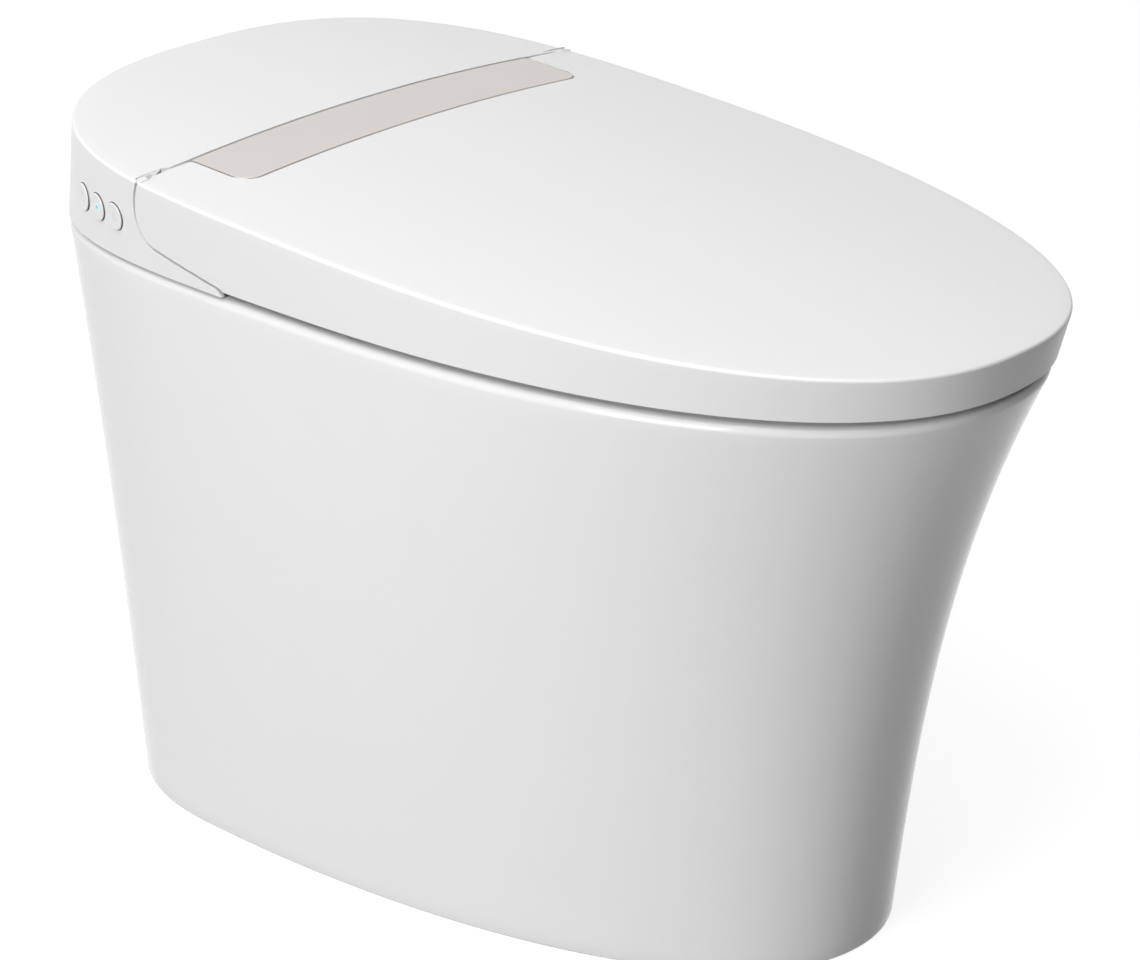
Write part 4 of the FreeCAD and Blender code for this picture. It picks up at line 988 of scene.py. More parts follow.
    def crumpled(self, tree: NodeTree, where: NodeSocket) -> NodeSocket:
        """Soft creases of a thin foil."""
        creases = add_node(tree, "ShaderNodeTexVoronoi", {"Scale": 90.0, "Vector": where}, feature="F1")
        return creases.outputs["Distance"]


def white(level: float) -> Colour:
    """A very slightly cool white."""
    return (level, level * 1.002, level * 1.004)


FINISHES = (
    Finish("glaze", white(0.86), white(0.845), 0.10, 0.15, coat=0.12, coat_roughness=0.04,
           specular=0.32, wave_size=7.0, grain=0.02, relief=0.00005),
    Finish("shell", white(0.88), white(0.868), 0.29, 0.35, coat=0.04, coat_roughness=0.12,
           specular=0.30, wave_size=6.0, grain=0.03, relief=0.00002),
    Finish("seat_plastic", white(0.87), white(0.855), 0.29, 0.35, coat=0.10, coat_roughness=0.15,
           wave_size=8.0, grain=0.05),
    Finish("button_cap", white(0.86), white(0.84), 0.30, 0.36, grain=0.2, relief=0.00001),
    Finish("trim_metal", (0.66, 0.615, 0.585), (0.63, 0.585, 0.555), 0.34, 0.42, metallic=0.35,
           specular=0.5, grain=0.1, relief=0.000006, pattern=Pattern.BRUSHED,
           second=(0.69, 0.645, 0.615)),
    Finish("grey_plastic", (0.42, 0.43, 0.44), (0.36, 0.37, 0.38), 0.42, 0.56, grain=0.8,
           relief=0.00004, dust=0.5),
    Finish("dark_plastic", (0.035, 0.037, 0.040), (0.055, 0.056, 0.060), 0.38, 0.55, grain=0.8,
           relief=0.00004, dust=0.4),
    Finish("clear_wand", (0.80, 0.84, 0.86), (0.76, 0.80, 0.83), 0.08, 0.14, transmission=0.35,
           grain=0.05),
    Finish("rubber", (0.30, 0.30, 0.31), (0.24, 0.24, 0.25), 0.60, 0.75, grain=1.0, relief=0.00005),
    Finish("seal_rubber", (0.045, 0.043, 0.042), (0.07, 0.068, 0.066), 0.62, 0.80, grain=1.0,
           relief=0.00006, dust=0.5),
    Finish("bumper_rubber", (0.74, 0.745, 0.75), (0.68, 0.685, 0.69), 0.50, 0.64, grain=0.6,
           relief=0.00003),
    Finish("steel", (0.60, 0.60, 0.61), (0.52, 0.52, 0.53), 0.18, 0.34, metallic=1.0, grain=0.5,
           relief=0.00001),
    Finish("brass", (0.72, 0.52, 0.25), (0.60, 0.42, 0.20), 0.20, 0.38, metallic=1.0, grain=0.5,
           relief=0.00002),
    Finish("hose", (0.50, 0.51, 0.52), (0.40, 0.41, 0.42), 0.30, 0.44, metallic=0.6, grain=0.3,
           relief=0.0002, pattern=Pattern.BRAID, second=(0.72, 0.73, 0.74)),
    Finish("board", (0.015, 0.11, 0.055), (0.012, 0.085, 0.045), 0.28, 0.40, grain=0.3,
           relief=0.00003, pattern=Pattern.TRACKS, second=(0.30, 0.34, 0.14), dust=0.3),
    Finish("foil", (0.72, 0.70, 0.66), (0.60, 0.58, 0.55), 0.22, 0.36, metallic=0.9, grain=0.4,
           relief=0.0003, pattern=Pattern.CRUMPLED, second=(0.80, 0.78, 0.74)),
    Finish("carbon", (0.012, 0.012, 0.013), (0.02, 0.02, 0.021), 0.75, 0.92, grain=1.0,
           relief=0.0005, pattern=Pattern.CELLS, second=(0.05, 0.05, 0.052)),
)


@dataclass
class Paintbox:
    """All materials of the scene by slot."""

    materials: dict[str, Material] = field(default_factory=dict)

    def fill(self) -> None:
        """Build every finish, the grey of the signs, and the dark grey that paints shade into gaps."""
        moulded, dusty = moulded_group(), dust_group()
        for finish in FINISHES:
            self.materials[finish.slot] = finish.build(moulded, dusty)
        self.materials["icon_grey"] = Finish(
            "icon_grey", (0.62, 0.63, 0.64), (0.58, 0.59, 0.60), 0.4, 0.5).build(moulded, dusty)
        # Dark grey painted on the faces inside narrow gaps as their shade: seam walls, hole rims, the
        # trim's sides and the caps' sunken sides.
        self.materials["seam_shade"] = Finish(
            "seam_shade", (0.12, 0.121, 0.122), (0.10, 0.101, 0.102), 0.5, 0.6,
            specular=0.2).build(moulded, dusty)

    def paint(self, thing: Object, slot: str) -> Object:
        """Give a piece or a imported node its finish.

        Args:
            thing: the object.
            slot: the finish's slot.

        Returns:
            The same object.
        """
        thing.data.materials.clear()
        thing.data.materials.append(self.materials[slot])
        return thing


PAINT = Paintbox()


def finish_piece(thing: Object, body: str, slot: str, *nodes: str) -> Object:
    """Paint a piece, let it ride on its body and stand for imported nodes, and report it.

    Args:
        thing: the piece.
        body: the body that it moves with.
        slot: the slot of its finish.
        nodes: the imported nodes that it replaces.

    Returns:
        The same piece.
    """
    PAINT.paint(thing, slot)
    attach(thing, body)
    if nodes:
        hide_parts(*nodes)
    LOG.info("%s: %d faces on %s", thing.name, len(thing.data.polygons), body)
    return thing


def shadow_faces(thing: Object, chosen: Callable[[bpy.types.MeshPolygon], bool]) -> None:
    """Give the faces inside a narrow gap the second material of their piece, the dark grey that paints the
    gap's shade.
    """
    for face in thing.data.polygons:
        if chosen(face):
            face.material_index = 1


def joined(name: str, parts: Sequence[Object]) -> Object:
    """Make one piece of several closed ones.

    Args:
        name: name of the piece.
        parts: the parts, which are used up.

    Returns:
        The piece.
    """
    mesh = bmesh.new()
    for part in parts:
        mesh.from_mesh(part.data)
        bpy.data.objects.remove(part)
    return as_object(name, mesh)


# ---- ceramic ----
@dataclass
class Ceramic:
    """The glazed body: flared skirt, rounded rim, bowl, and the recesses in its rear."""

    rim_z: float = 0.401
    rim_round: float = 0.007
    foot_round: float = 0.002
    skirt_wall: float = 0.012
    deck_thick: float = 0.022
    bowl_wall: float = 0.011
    mouth: Egg = Egg(0.262, -0.115, 0.178, 0.172, 2.2, 2.3)
    mouth_round: float = 0.008
    sump: Egg = Egg(0.084, -0.062, 0.056, 0.056, 2.1, 2.1)
    sump_z: float = 0.160
    sump_round: float = 0.022
    flare_front: float = 0.409
    flare_side: float = 0.876
    flare_rear: float = 0.953
    flare_power: float = 2.865
    well_half: float = 0.152
    well_front: float = 0.170
    well_floor: float = 0.256
    well_wall: float = 0.011
    slot_half: float = 0.084
    slot_rear: float = 0.183
    slot_floor: tuple[tuple[float, float], ...] = ((-0.0400, 0.2832), (-0.0273, 0.2593), (0.183, 0.3711))
    shell_floor: tuple[tuple[float, float], ...] = ((-0.0614, 0.420), (0.0178, 0.2709), (0.2008, 0.3682))
    trap_bore: float = 0.027
    trap_wall: float = 0.008
    outlet_y: float = 0.060
    weir_z: float = 0.232
    bolt_x: float = 0.120
    bolt_y: float = 0.149
    bolt_hole: float = 0.007

    def wall(self, turn: float, z: float, inset: float = 0.0) -> Vector:
        """A point of the flared skirt.

        Args:
            turn: turn of the outline.
            z: height.
            inset: distance inwards.

        Returns:
            The point.
        """
        level = min(max(z / self.rim_z, 0.0), 1.0)
        ends = self.flare_front if cos(turn) > 0 else self.flare_rear
        straight = self.flare_side + (ends - self.flare_side) * cos(turn) ** 2
        share = straight * level + (1 - straight) * level ** self.flare_power
        here = FLOOR_LINE.inset(inset).point(turn).lerp(RIM_LINE.inset(inset).point(turn), share)
        return Vector((here.x, here.y, z))

    def bowl_share(self, depth: float) -> float:
        """How far the bowl has drawn in at a share of its depth, on a smooth curve."""
        knots = ((-0.03, 0.0), (0.15, 0.02), (0.5, 0.3), (1.0, 1.0))
        slopes = []
        for index, (here, level) in enumerate(knots):
            before, after = knots[max(index - 1, 0)], knots[min(index + 1, len(knots) - 1)]
            slopes.append((after[1] - before[1]) / (after[0] - before[0]))
        for index in range(len(knots) - 1):
            (x0, y0), (x1, y1) = knots[index], knots[index + 1]
            if depth <= x1 or index == len(knots) - 2:
                span = x1 - x0
                t = (depth - x0) / span
                rise, fall = slopes[index] * span, slopes[index + 1] * span
                return ((2 * t ** 3 - 3 * t ** 2 + 1) * y0 + (t ** 3 - 2 * t ** 2 + t) * rise
                        + (3 * t ** 2 - 2 * t ** 3) * y1 + (t ** 3 - t ** 2) * fall)
        return 1.0

    def bowl(self, turn_high: float, turn_low: float, z: float, grow: float = 0.0) -> Vector:
        """A point of the bowl's wall.

        Args:
            turn_high: turn on the mouth's outline.
            turn_low: turn on the sump's outline.
            z: height.
            grow: distance outwards.

        Returns:
            The point.
        """
        depth = (self.rim_z - z) / (self.rim_z - self.sump_z + grow)
        here = self.mouth.inset(-grow).point(turn_high).lerp(self.sump.inset(-grow).point(turn_low),
                                                             self.bowl_share(depth))
        return Vector((here.x, here.y, z))

    def body_rings(self) -> list[Ring]:
        """Rings of the whole outside: foot, skirt, rim, deck, mouth and bowl down to its sump."""
        rings_in_columns = []
        outer, mouth = RIM_LINE.turns(AROUND), self.mouth.turns(AROUND)
        wall_rows, deck_rows, bowl_rows = 44, 6, 34
        for turn, inner in zip(outer, mouth):
            foot = self.wall(turn, 0.0)
            column = corner_arc(self.wall(turn, 0.0, self.foot_round), foot,
                                self.wall(turn, self.foot_round), 3)
            shoulder = self.rim_z - self.rim_round
            column += [self.wall(turn, self.foot_round + (shoulder - self.foot_round) * row / wall_rows)
                       for row in range(1, wall_rows)]
            edge = RIM_LINE.inset(self.rim_round).point(turn, self.rim_z)
            column += corner_arc(self.wall(turn, shoulder), RIM_LINE.point(turn, self.rim_z), edge, 8)
            lip = self.mouth.inset(-self.mouth_round).point(inner, self.rim_z)
            column += [edge.lerp(lip, row / deck_rows) for row in range(1, deck_rows)]
            throat = self.bowl(inner, inner, self.rim_z - self.mouth_round)
            column += corner_arc(lip, self.mouth.point(inner, self.rim_z), throat, 7)
            base = self.sump_z + self.sump_round
            column += [self.bowl(inner, inner, throat.z + (base - throat.z) * row / bowl_rows)
                       for row in range(1, bowl_rows)]
            column += corner_arc(self.bowl(inner, inner, base), self.sump.point(inner, self.sump_z),
                                 self.sump.inset(self.sump_round).point(inner, self.sump_z), 7)
            rings_in_columns.append(column)
        return [list(ring) for ring in zip(*rings_in_columns)]

    def hollow(self) -> Object:
        """The open space under the skirt, around the bowl, slot, well and trapway."""
        turns = RIM_LINE.turns(96)
        top = self.rim_z - self.deck_thick
        rows = 20
        rings = [[self.wall(turn, top * row / rows - (0.001 if row == 0 else 0.0), self.skirt_wall)
                  for turn in turns] for row in range(rows + 1)]
        space = as_object("hollow", skin(rings, Vector((0, 0, -0.001)), Vector((0, 0, top))))
        mouth, wall = self.mouth.turns(96), self.bowl_wall
        low = self.sump_z - wall
        bowl_rings = [[self.bowl(turn, turn, low + (self.rim_z + 0.01 - low) * row / rows, wall)
                       for turn in mouth] for row in range(rows + 1)]
        middle = Vector((0, self.sump.widest, low))
        bowl = as_object("bowl", skin(bowl_rings, middle, Vector((0, -0.1, self.rim_z + 0.01))))
        half, front = self.well_half + self.well_wall, self.well_front - self.well_wall
        well = prism("well", ((front, self.well_floor - self.well_wall), (0.5, self.well_floor
                     - self.well_wall), (0.5, 0.5), (front, 0.5)), -half, half)
        slot = prism("slot", (*self.shell_floor, (self.shell_floor[2][0], 0.420)),
                     -self.slot_half - wall, self.slot_half + wall)
        for tool in (bowl, well, slot):
            boolean(space, tool)
        for tool in self.trapway(self.trap_bore + self.trap_wall):
            boolean(space, tool)
        return space

    def trapway(self, radius: float) -> list[Object]:
        """The passage from the sump over the weir to the outlet, as balls and straight runs.

        Args:
            radius: its radius.

        Returns:
            The solids.
        """
        y, start = self.outlet_y, self.sump.widest + 0.010
        path = [Vector((0, start, self.sump_z + 0.032)), Vector((0, y - 0.058, self.sump_z + 0.026)),
                Vector((0, y - 0.016, self.weir_z)), Vector((0, y, self.weir_z - 0.006)),
                Vector((0, y, 0.0112))]
        solids = []
        for corner in path[1:-1]:
            mesh = bmesh.new()
            bmesh.ops.create_uvsphere(mesh, u_segments=40, v_segments=24, radius=radius)
            bmesh.ops.translate(mesh, verts=mesh.verts, vec=corner)
            solids.append(as_object("ball", mesh))
        for here, there in zip(path, path[1:]):
            solids.append(tube("run", [here, there], radius, 40))
        return solids

    def build(self) -> Object:
        """Make the ceramic body."""
        rings = self.body_rings()
        low = Vector((0.0, 0.05, 0.0))
        mesh = skin(rings, low, Vector((0.0, self.sump.widest, self.sump_z)))
        shade = Skin(mesh)
        body = as_object("glazed_body", mesh)
        boolean(body, self.hollow())
        well = prism("well", ((self.well_front, self.well_floor), (0.5, self.well_floor), (0.5, 0.42),
                              (self.well_front, 0.42)), -self.well_half, self.well_half)
        rows = 8
        turns = RIM_LINE.turns(96)
        low_z, high_z = self.well_floor - 0.01, 0.42
        limits = [[self.wall(turn, low_z + (high_z - low_z) * row / rows, self.skirt_wall)
                   for turn in turns] for row in range(rows + 1)]
        limit = as_object("limit", skin(limits, Vector((0, 0, low_z)), Vector((0, 0, high_z))))
        boolean(well, limit, "INTERSECT")
        boolean(body, well)
        front = self.slot_floor[0][0]
        boolean(body, prism("slot", (*self.slot_floor, (self.slot_rear, 0.42), (front, 0.42)),
                            -self.slot_half, self.slot_half))
        for tool in self.trapway(self.trap_bore):
            boolean(body, tool)
        for side in (-1, 1):
            place = Vector((side * self.bolt_x, self.bolt_y, 0))
            boolean(body, tube("hole", [place + Vector((0, 0, self.rim_z - 0.06)),
                                        place + Vector((0, 0, self.rim_z + 0.02))], self.bolt_hole, 32))
        smooth(body, 34.0)
        shade.lend(body)
        return finish_piece(body, "root", "glaze", "ceramic_body")


# ---- lid and rear housing ----
def turn_where(before: Callable[[float], bool]) -> float:
    """Turn on the rear half of the +X side up to which something holds."""
    near, far = pi / 2, pi
    for _ in range(40):
        middle = (near + far) / 2
        near, far = (middle, far) if before(middle) else (near, middle)
    return near


def wall_turn(y: float, z: float, inset: float = 0.0) -> float:
    """Turn on the rear half at which the upper wall passes a y, on the +X side."""
    return turn_where(lambda turn: UPPER.wall(turn, z, inset).y < y)


def wall_x(y: float, z: float, inset: float = 0.0) -> float:
    """Half width of the upper wall at a y behind its widest place."""
    return UPPER.wall(wall_turn(y, z, inset), z, inset).x


@dataclass(frozen=True)
class WallPlace:
    """A place on the -X side wall and the wall's directions there."""

    y: float
    z: float = 0.4303

    def matrix(self) -> Matrix:
        """Frame of the place: Z points out of the wall, X along it and Y up."""
        turn = -wall_turn(self.y, self.z)
        step = 0.01
        along = UPPER.wall(turn + step, self.z) - UPPER.wall(turn - step, self.z)
        upward = UPPER.wall(turn, self.z + 0.001) - UPPER.wall(turn, self.z - 0.001)
        outward = along.cross(upward).normalized()
        middle = UPPER.wall(turn, self.z)
        if outward.dot(middle - Vector((0, PLAN_LINE.widest, self.z))) < 0:
            outward = -outward
        sideways = Vector((0, 0, 1)).cross(outward).normalized()
        upright = outward.cross(sideways)
        frame_there = Matrix((sideways, upright, outward)).transposed().to_4x4()
        return Matrix.Translation(middle) @ frame_there


BUTTON_PLACES = (WallPlace(0.2164), WallPlace(0.2384), WallPlace(0.2604))


def hole(place: Matrix, radius: float, reach: float = 0.03) -> Distance:
    """Distance into a round hole that goes through a wall.

    Args:
        place: frame whose Z axis is the hole's.
        radius: the hole's radius.
        reach: how far from the frame the hole counts.

    Returns:
        The distance, positive within the hole.
    """
    back = place.inverted()

    def distance(point: Vector) -> float:
        """Distance into the hole at a point."""
        local = back @ point
        if abs(local.z) > reach:
            return -reach
        return radius - hypot(local.x, local.y)

    return distance


def seam_wall(name: str, gap: float, half: Optional[float], thickness: float) -> list[Object]:
    """The wall that closes a casing along the side seam.

    Args:
        name: name of the pieces.
        gap: distance of its face from the seam, positive towards the housing.
        half: half width of the open middle, or None where the wall runs right across.
        thickness: its thickness away from the seam.

    Returns:
        One piece, or one on each side.
    """
    margin, corner_z, crown_z, steps = 0.0012, 0.466, 0.468, 6
    pairs = SEAM.profile(gap)
    top_y, bend_z = pairs[0]

    def row_at(share_of: Callable[[float], float]) -> list[Vector]:
        """One column of the wall, at a share of its width."""
        top = UPPER.top(share_of(wall_x(top_y, corner_z, margin)), top_y, margin)
        straight = [(top_y, top + (bend_z - top) * step / steps) for step in range(steps)]
        points = []
        for y, z in (*straight, *pairs):
            x = share_of(wall_x(y, min(z, crown_z), margin))
            points.append(Vector((x, y, min(z, UPPER.top(x, y, margin)))))
        return points

    if half is None:
        rows = [row_at(lambda reach, share=step / 20 - 1: share * reach) for step in range(41)]
        pieces = [as_object(name, sheet(rows))]
    else:
        pieces = []
        for side in (-1, 1):
            rows = [row_at(lambda reach, share=step / 8: side * (half + (reach - half) * share))
                    for step in range(9)]
            pieces.append(as_object(f"{name}_{side}", sheet(rows)))
    for piece in pieces:
        facing = sum(face.normal.y * face.area for face in piece.data.polygons)
        if facing * gap > 0:
            piece.data.flip_normals()
        thicken(piece, thickness, 0.0)
    return pieces


@dataclass
class Casing:
    """What the lid and the rear housing share: their outer skin, wall and rounded rims."""

    wall: float = 0.003
    edge: float = 0.0004
    low: float = 0.402

    def outer_skin(self) -> BMesh:
        """The smooth skin of the whole upper form above this casing's foot."""
        return skin(UPPER.rings(self.low), last_pole=UPPER.pole())

    def shaped(self, name: str, cuts: Sequence[Distance],
               fine: Sequence[Vector] = ()) -> tuple[Object, Skin]:
        """The skin with cuts, its wall and its rounded rim.

        Args:
            name: name of the piece.
            cuts: distances that are positive where the skin goes.
            fine: places with small round cuts, where the faces are made smaller.

        Returns:
            The closed shell, and the skin that lends its shading.
        """
        mesh = self.outer_skin()
        shade = Skin(mesh)
        close = [edge for edge in mesh.edges
                 if any(((edge.verts[0].co + edge.verts[1].co) / 2 - place).length < 0.017
                        for place in fine)]
        if close:
            bmesh.ops.subdivide_edges(mesh, edges=close, cuts=3, use_grid_fill=True)
        for cut in cuts:
            trim_away(mesh, cut)
        shell = thicken(as_object(name, mesh), self.wall, self.edge)
        return shell, shade


@dataclass
class LidShell(Casing):
    """The lid: a crowned top that runs round the trim strip, a side wall, and its pivots."""

    low: float = 0.406
    hinge: tuple[float, float] = (0.1676, 0.450)
    sweep: float = 0.0214
    recess: float = 0.043
    cheek: float = 0.1556
    boss_radius: float = 0.009
    boss_from: float = 0.1745
    trim_gap: float = 0.0019
    arm_slot: tuple[float, float] = (0.1596, 0.1734)
    slot_top: float = 0.445

    def rounded_corner(self, mesh: BMesh) -> None:
        """Pull the corner that swings past the housing onto a round about the hinge line."""
        hinge_y, hinge_z = self.hinge
        for vertex in mesh.verts:
            y, z = vertex.co.y - hinge_y, vertex.co.z - hinge_z
            reach = hypot(y, z)
            if y > 0 and z > 0.004 and reach > self.sweep:
                vertex.co.y = hinge_y + y * self.sweep / reach
                vertex.co.z = hinge_z + z * self.sweep / reach

    def build(self) -> Object:
        """Make the lid's shell."""
        shell, shade = self.shaped("lid_top", (
            lambda point: SEAM.side(point) + SEAM.gap / 2,
            lambda point: self.trim_gap - TRIM_PLAN.outside(point) if point.z > 0.43 else -1.0))
        mesh = bmesh.new()
        mesh.from_mesh(shell.data)
        self.rounded_corner(mesh)
        mesh.to_mesh(shell.data)
        mesh.free()
        wall, other = seam_wall("lid_seam", -SEAM.gap / 2, self.cheek, self.wall)
        bpy.data.objects.remove(other)
        near, far = self.arm_slot
        slot = ((0.13, 0.38), (0.30, 0.38), (0.30, self.slot_top), (0.13, self.slot_top))
        boolean(wall, prism("slot", slot, -far, -near))
        parts = [shell, wall, mirrored(wall), *self.recess_wall(), *self.bosses()]
        lid = smooth(joined("lid_top", parts))
        shade.lend(lid)
        return finish_piece(lid, "lid", "shell", "lid_shell")

    def recess_wall(self) -> list[Object]:
        """The round wall around the hinge barrel, with a cheek at each end."""
        hinge_y, hinge_z = self.hinge
        end, steps, columns, under = radians(214.0), 28, 24, 0.0014

        def start(x: float) -> float:
            """Angle at which the wall meets the underside of the crown."""
            high, low = radians(150.0), radians(185.0)
            for _ in range(30):
                middle = (low + high) / 2
                y = hinge_y + (self.recess + self.wall) * cos(middle)
                above = hinge_z + (self.recess + self.wall) * sin(middle) > UPPER.top(x, y, under)
                low, high = (low, middle) if above else (middle, high)
            return low

        rows = []
        for column in range(columns + 1):
            x = self.cheek * (2 * column / columns - 1)
            first = start(x)
            angles = (first + (end - first) * step / steps for step in range(steps + 1))
            rows.append([Vector((x, hinge_y + self.recess * cos(angle),
                                 hinge_z + self.recess * sin(angle))) for angle in angles])
        wall = as_object("recess", sheet(rows))
        if wall.data.polygons[0].normal.y < 0:
            wall.data.flip_normals()
        thicken(wall, self.wall, 0.0)
        pieces = [wall]
        for side in (-1, 1):
            outline = [(hinge_y + 0.0155, hinge_z - 0.026), (hinge_y + 0.0155, hinge_z + 0.0125)]
            outline += [(hinge_y - 0.037, hinge_z + 0.0185), (hinge_y - 0.0452, hinge_z + 0.006),
                        (hinge_y - 0.0452, hinge_z - 0.006), (hinge_y - 0.0375, hinge_z - 0.0255)]
            outline = [(y, min(z, UPPER.top(self.cheek + self.wall, y, under))) for y, z in outline]
            low, high = sorted((side * self.cheek, side * (self.cheek + self.wall)))
            cheek = prism(f"cheek_{side}", outline, low, high)
            eye = tube("eye", [Vector((low - 0.01, hinge_y, hinge_z)),
                               Vector((high + 0.01, hinge_y, hinge_z))], 0.0095, 40)
            boolean(cheek, eye)
            pieces.append(cheek)
        return pieces

    def bosses(self) -> list[Object]:
        """The two round bosses that turn on the hinge pins."""
        hinge_y, hinge_z = self.hinge
        pieces = []
        for side in (-1, 1):
            end = wall_x(hinge_y, hinge_z, 0.0015)
            place = Matrix.Translation((side * self.boss_from, hinge_y, hinge_z))
            place = place @ Vector((0, 0, 1)).rotation_difference(Vector((side, 0, 0))).to_matrix().to_4x4()
            length, bore, depth = end - self.boss_from, 0.00505, 0.0138
            corners = [(0.0, depth), (bore, depth), (bore, 0.0), (self.boss_radius, 0.0),
                       (self.boss_radius, length), (0.0, length)]
            pieces.append(turned(f"boss_{side}", rounded_profile(corners, 0.0005, 2), place, 48))
        return pieces


@dataclass
class LidPanel:
    """The smooth inner panel of the lid, with a shallow field pressed into it."""

    low: float = 0.4246
    thick: float = 0.0025
    inset: float = 0.0033
    rear: float = 0.1302
    field_depth: float = 0.0009
    count: int = 240

    def build(self) -> Object:
        """Make the panel."""
        share = (self.low - UPPER.rim_z) / (UPPER.plan_z - UPPER.rim_z)
        lines = (astuple(line.inset(self.inset)) for line in (RIM_LINE, PLAN_LINE))
        line = Egg(*(low + (high - low) * share for low, high in zip(*lines)))
        middle = Vector((0.0, -0.06, 0.0))
        outline = round_corners(
            ray_outline(middle, lambda x, y: y < self.rear and line.inside(x, y), self.count), 3)
        top, bottom, round_edge = self.low + self.thick, self.low, 0.0008

        def ring(share_out: float, margin: float, z: float) -> Ring:
            """The outline drawn in by a share and a margin, at a height."""
            points = []
            for point in outline:
                way = point - middle
                reach = way.length * share_out - margin
                points.append(Vector((*(middle + way.normalized() * reach).xy, z)))
            return points

        rings = [ring(share_out, 0.0, top) for share_out in (0.2, 0.6, 0.9)]
        rings += [ring(1.0, round_edge, top), ring(1.0, 0.0, top - round_edge),
                  ring(1.0, 0.0, bottom + round_edge), ring(1.0, round_edge, bottom)]
        rings += [ring(1.0, margin, bottom) for margin in (0.006, 0.012, 0.016)]
        for margin, drop in ((0.0175, 0.15), (0.019, 0.5), (0.0205, 0.85), (0.022, 1.0)):
            rings.append(ring(1.0, margin, bottom + self.field_depth * drop))
        for share_out in (0.8, 0.5, 0.2):
            rings.append(ring(share_out, 0.0, bottom + self.field_depth))
        mesh = skin(rings, Vector((0, middle.y, top)), Vector((0, middle.y, bottom + self.field_depth)))
        bmesh.ops.recalc_face_normals(mesh, faces=mesh.faces)
        panel = smooth(as_object("lid_panel", mesh), 50)
        return finish_piece(panel, "lid", "shell", "lid_inner_panel")


@dataclass
class RearHousing(Casing):
    """The white rear housing, whose side holds the push buttons."""

    button_hole: float = 0.0095
    gland_hole: float = 0.0065
    inlet: tuple[float, float] = (0.070, 0.428)
    inlet_hole: float = 0.017
    foot_y: float = 0.1716
    foot_low: float = 0.405
    foot_high: float = 0.4155
    window: float = 0.084

    def build(self) -> Object:
        """Make the rear housing."""
        cuts = [lambda point: SEAM.gap / 2 - SEAM.side(point)]
        cuts += [hole(place.matrix(), self.button_hole) for place in BUTTON_PLACES]
        x, z = self.inlet
        gland = UPPER.wall(-turn_where(lambda turn: UPPER.wall(turn, z).x > x), z)
        for place, radius in (((x, 0.35, z), self.inlet_hole), (gland, self.gland_hole)):
            rearward = Matrix.Translation(place) @ Matrix.Rotation(-pi / 2, 4, "X")
            cuts.append(hole(rearward, radius))
        shell, shade = self.shaped("rear_housing", cuts,
                                   [place.matrix().translation for place in BUTTON_PLACES])

        def in_shaded_gap(face: bpy.types.MeshPolygon) -> bool:
            """Whether a face lies inside the seam or a button's hole, where dark grey paints the gap's
            shade.
            """
            off = abs(SEAM.side(face.center) - SEAM.gap / 2)
            return (off < 0.0002 or (off < 0.002 and face.normal.y < -0.6)
                    or any(abs(cut(face.center)) < 0.0002 for cut in cuts[1:4]))

        # Faces in the seam and in the button holes get dark grey as painted shade.
        shadow_faces(shell, in_shaded_gap)
        walls = seam_wall("housing_seam", SEAM.gap / 2, None, self.wall)
        # The whole seam wall is painted dark grey as the shade inside the seam.
        for wall in walls:
            shadow_faces(wall, lambda face: True)
        near, far, low, high = self.foot_y, self.foot_y + self.wall, self.foot_low, self.foot_high
        foot = prism("foot", ((near, low), (far, low), (far, high), (near, high)), self.window,
                     wall_x(near, low, 0.0015))
        housing = smooth(joined("rear_housing", [shell, *walls, foot, mirrored(foot)]))
        shade.lend(housing)
        finish_piece(housing, "root", "shell", "rear_cover")
        # Second material: the dark grey painted shade of the gaps.
        housing.data.materials.append(PAINT.materials["seam_shade"])
        return housing


# ---- trim strip and hinge housing ----
@dataclass
class Trim:
    """The champagne grey metal strip that lies in the crown of the top."""

    thick: float = 0.0025
    edge: float = 0.0005
    columns: int = 124
    rows: int = 26

    def build(self) -> Object:
        """Make the strip."""
        plan = TRIM_PLAN
        rows = []
        for row in range(self.rows + 1):
            y = plan.front + (plan.rear - plan.front) * row / self.rows
            line = []
            for column in range(self.columns + 1):
                x = plan.half * (2 * column / self.columns - 1)
                line.append(Vector((x, y, UPPER.top(x, y))))
            rows.append(line)
        mesh = sheet(rows)
        trim_away(mesh, plan.outside, snap=0.25)
        shade = Skin(mesh)
        strip = thicken(as_object("trim_strip", mesh), self.thick, self.edge)
        smooth(strip)
        shade.lend(strip)
        # The strip's sides get dark grey as painted shade in the gap around it.
        shadow_faces(strip, lambda face: abs(face.normal.z) < 0.3)
        finish_piece(strip, "root", "trim_metal", "trim_plate")
        strip.data.materials.append(PAINT.materials["seam_shade"])
        return strip


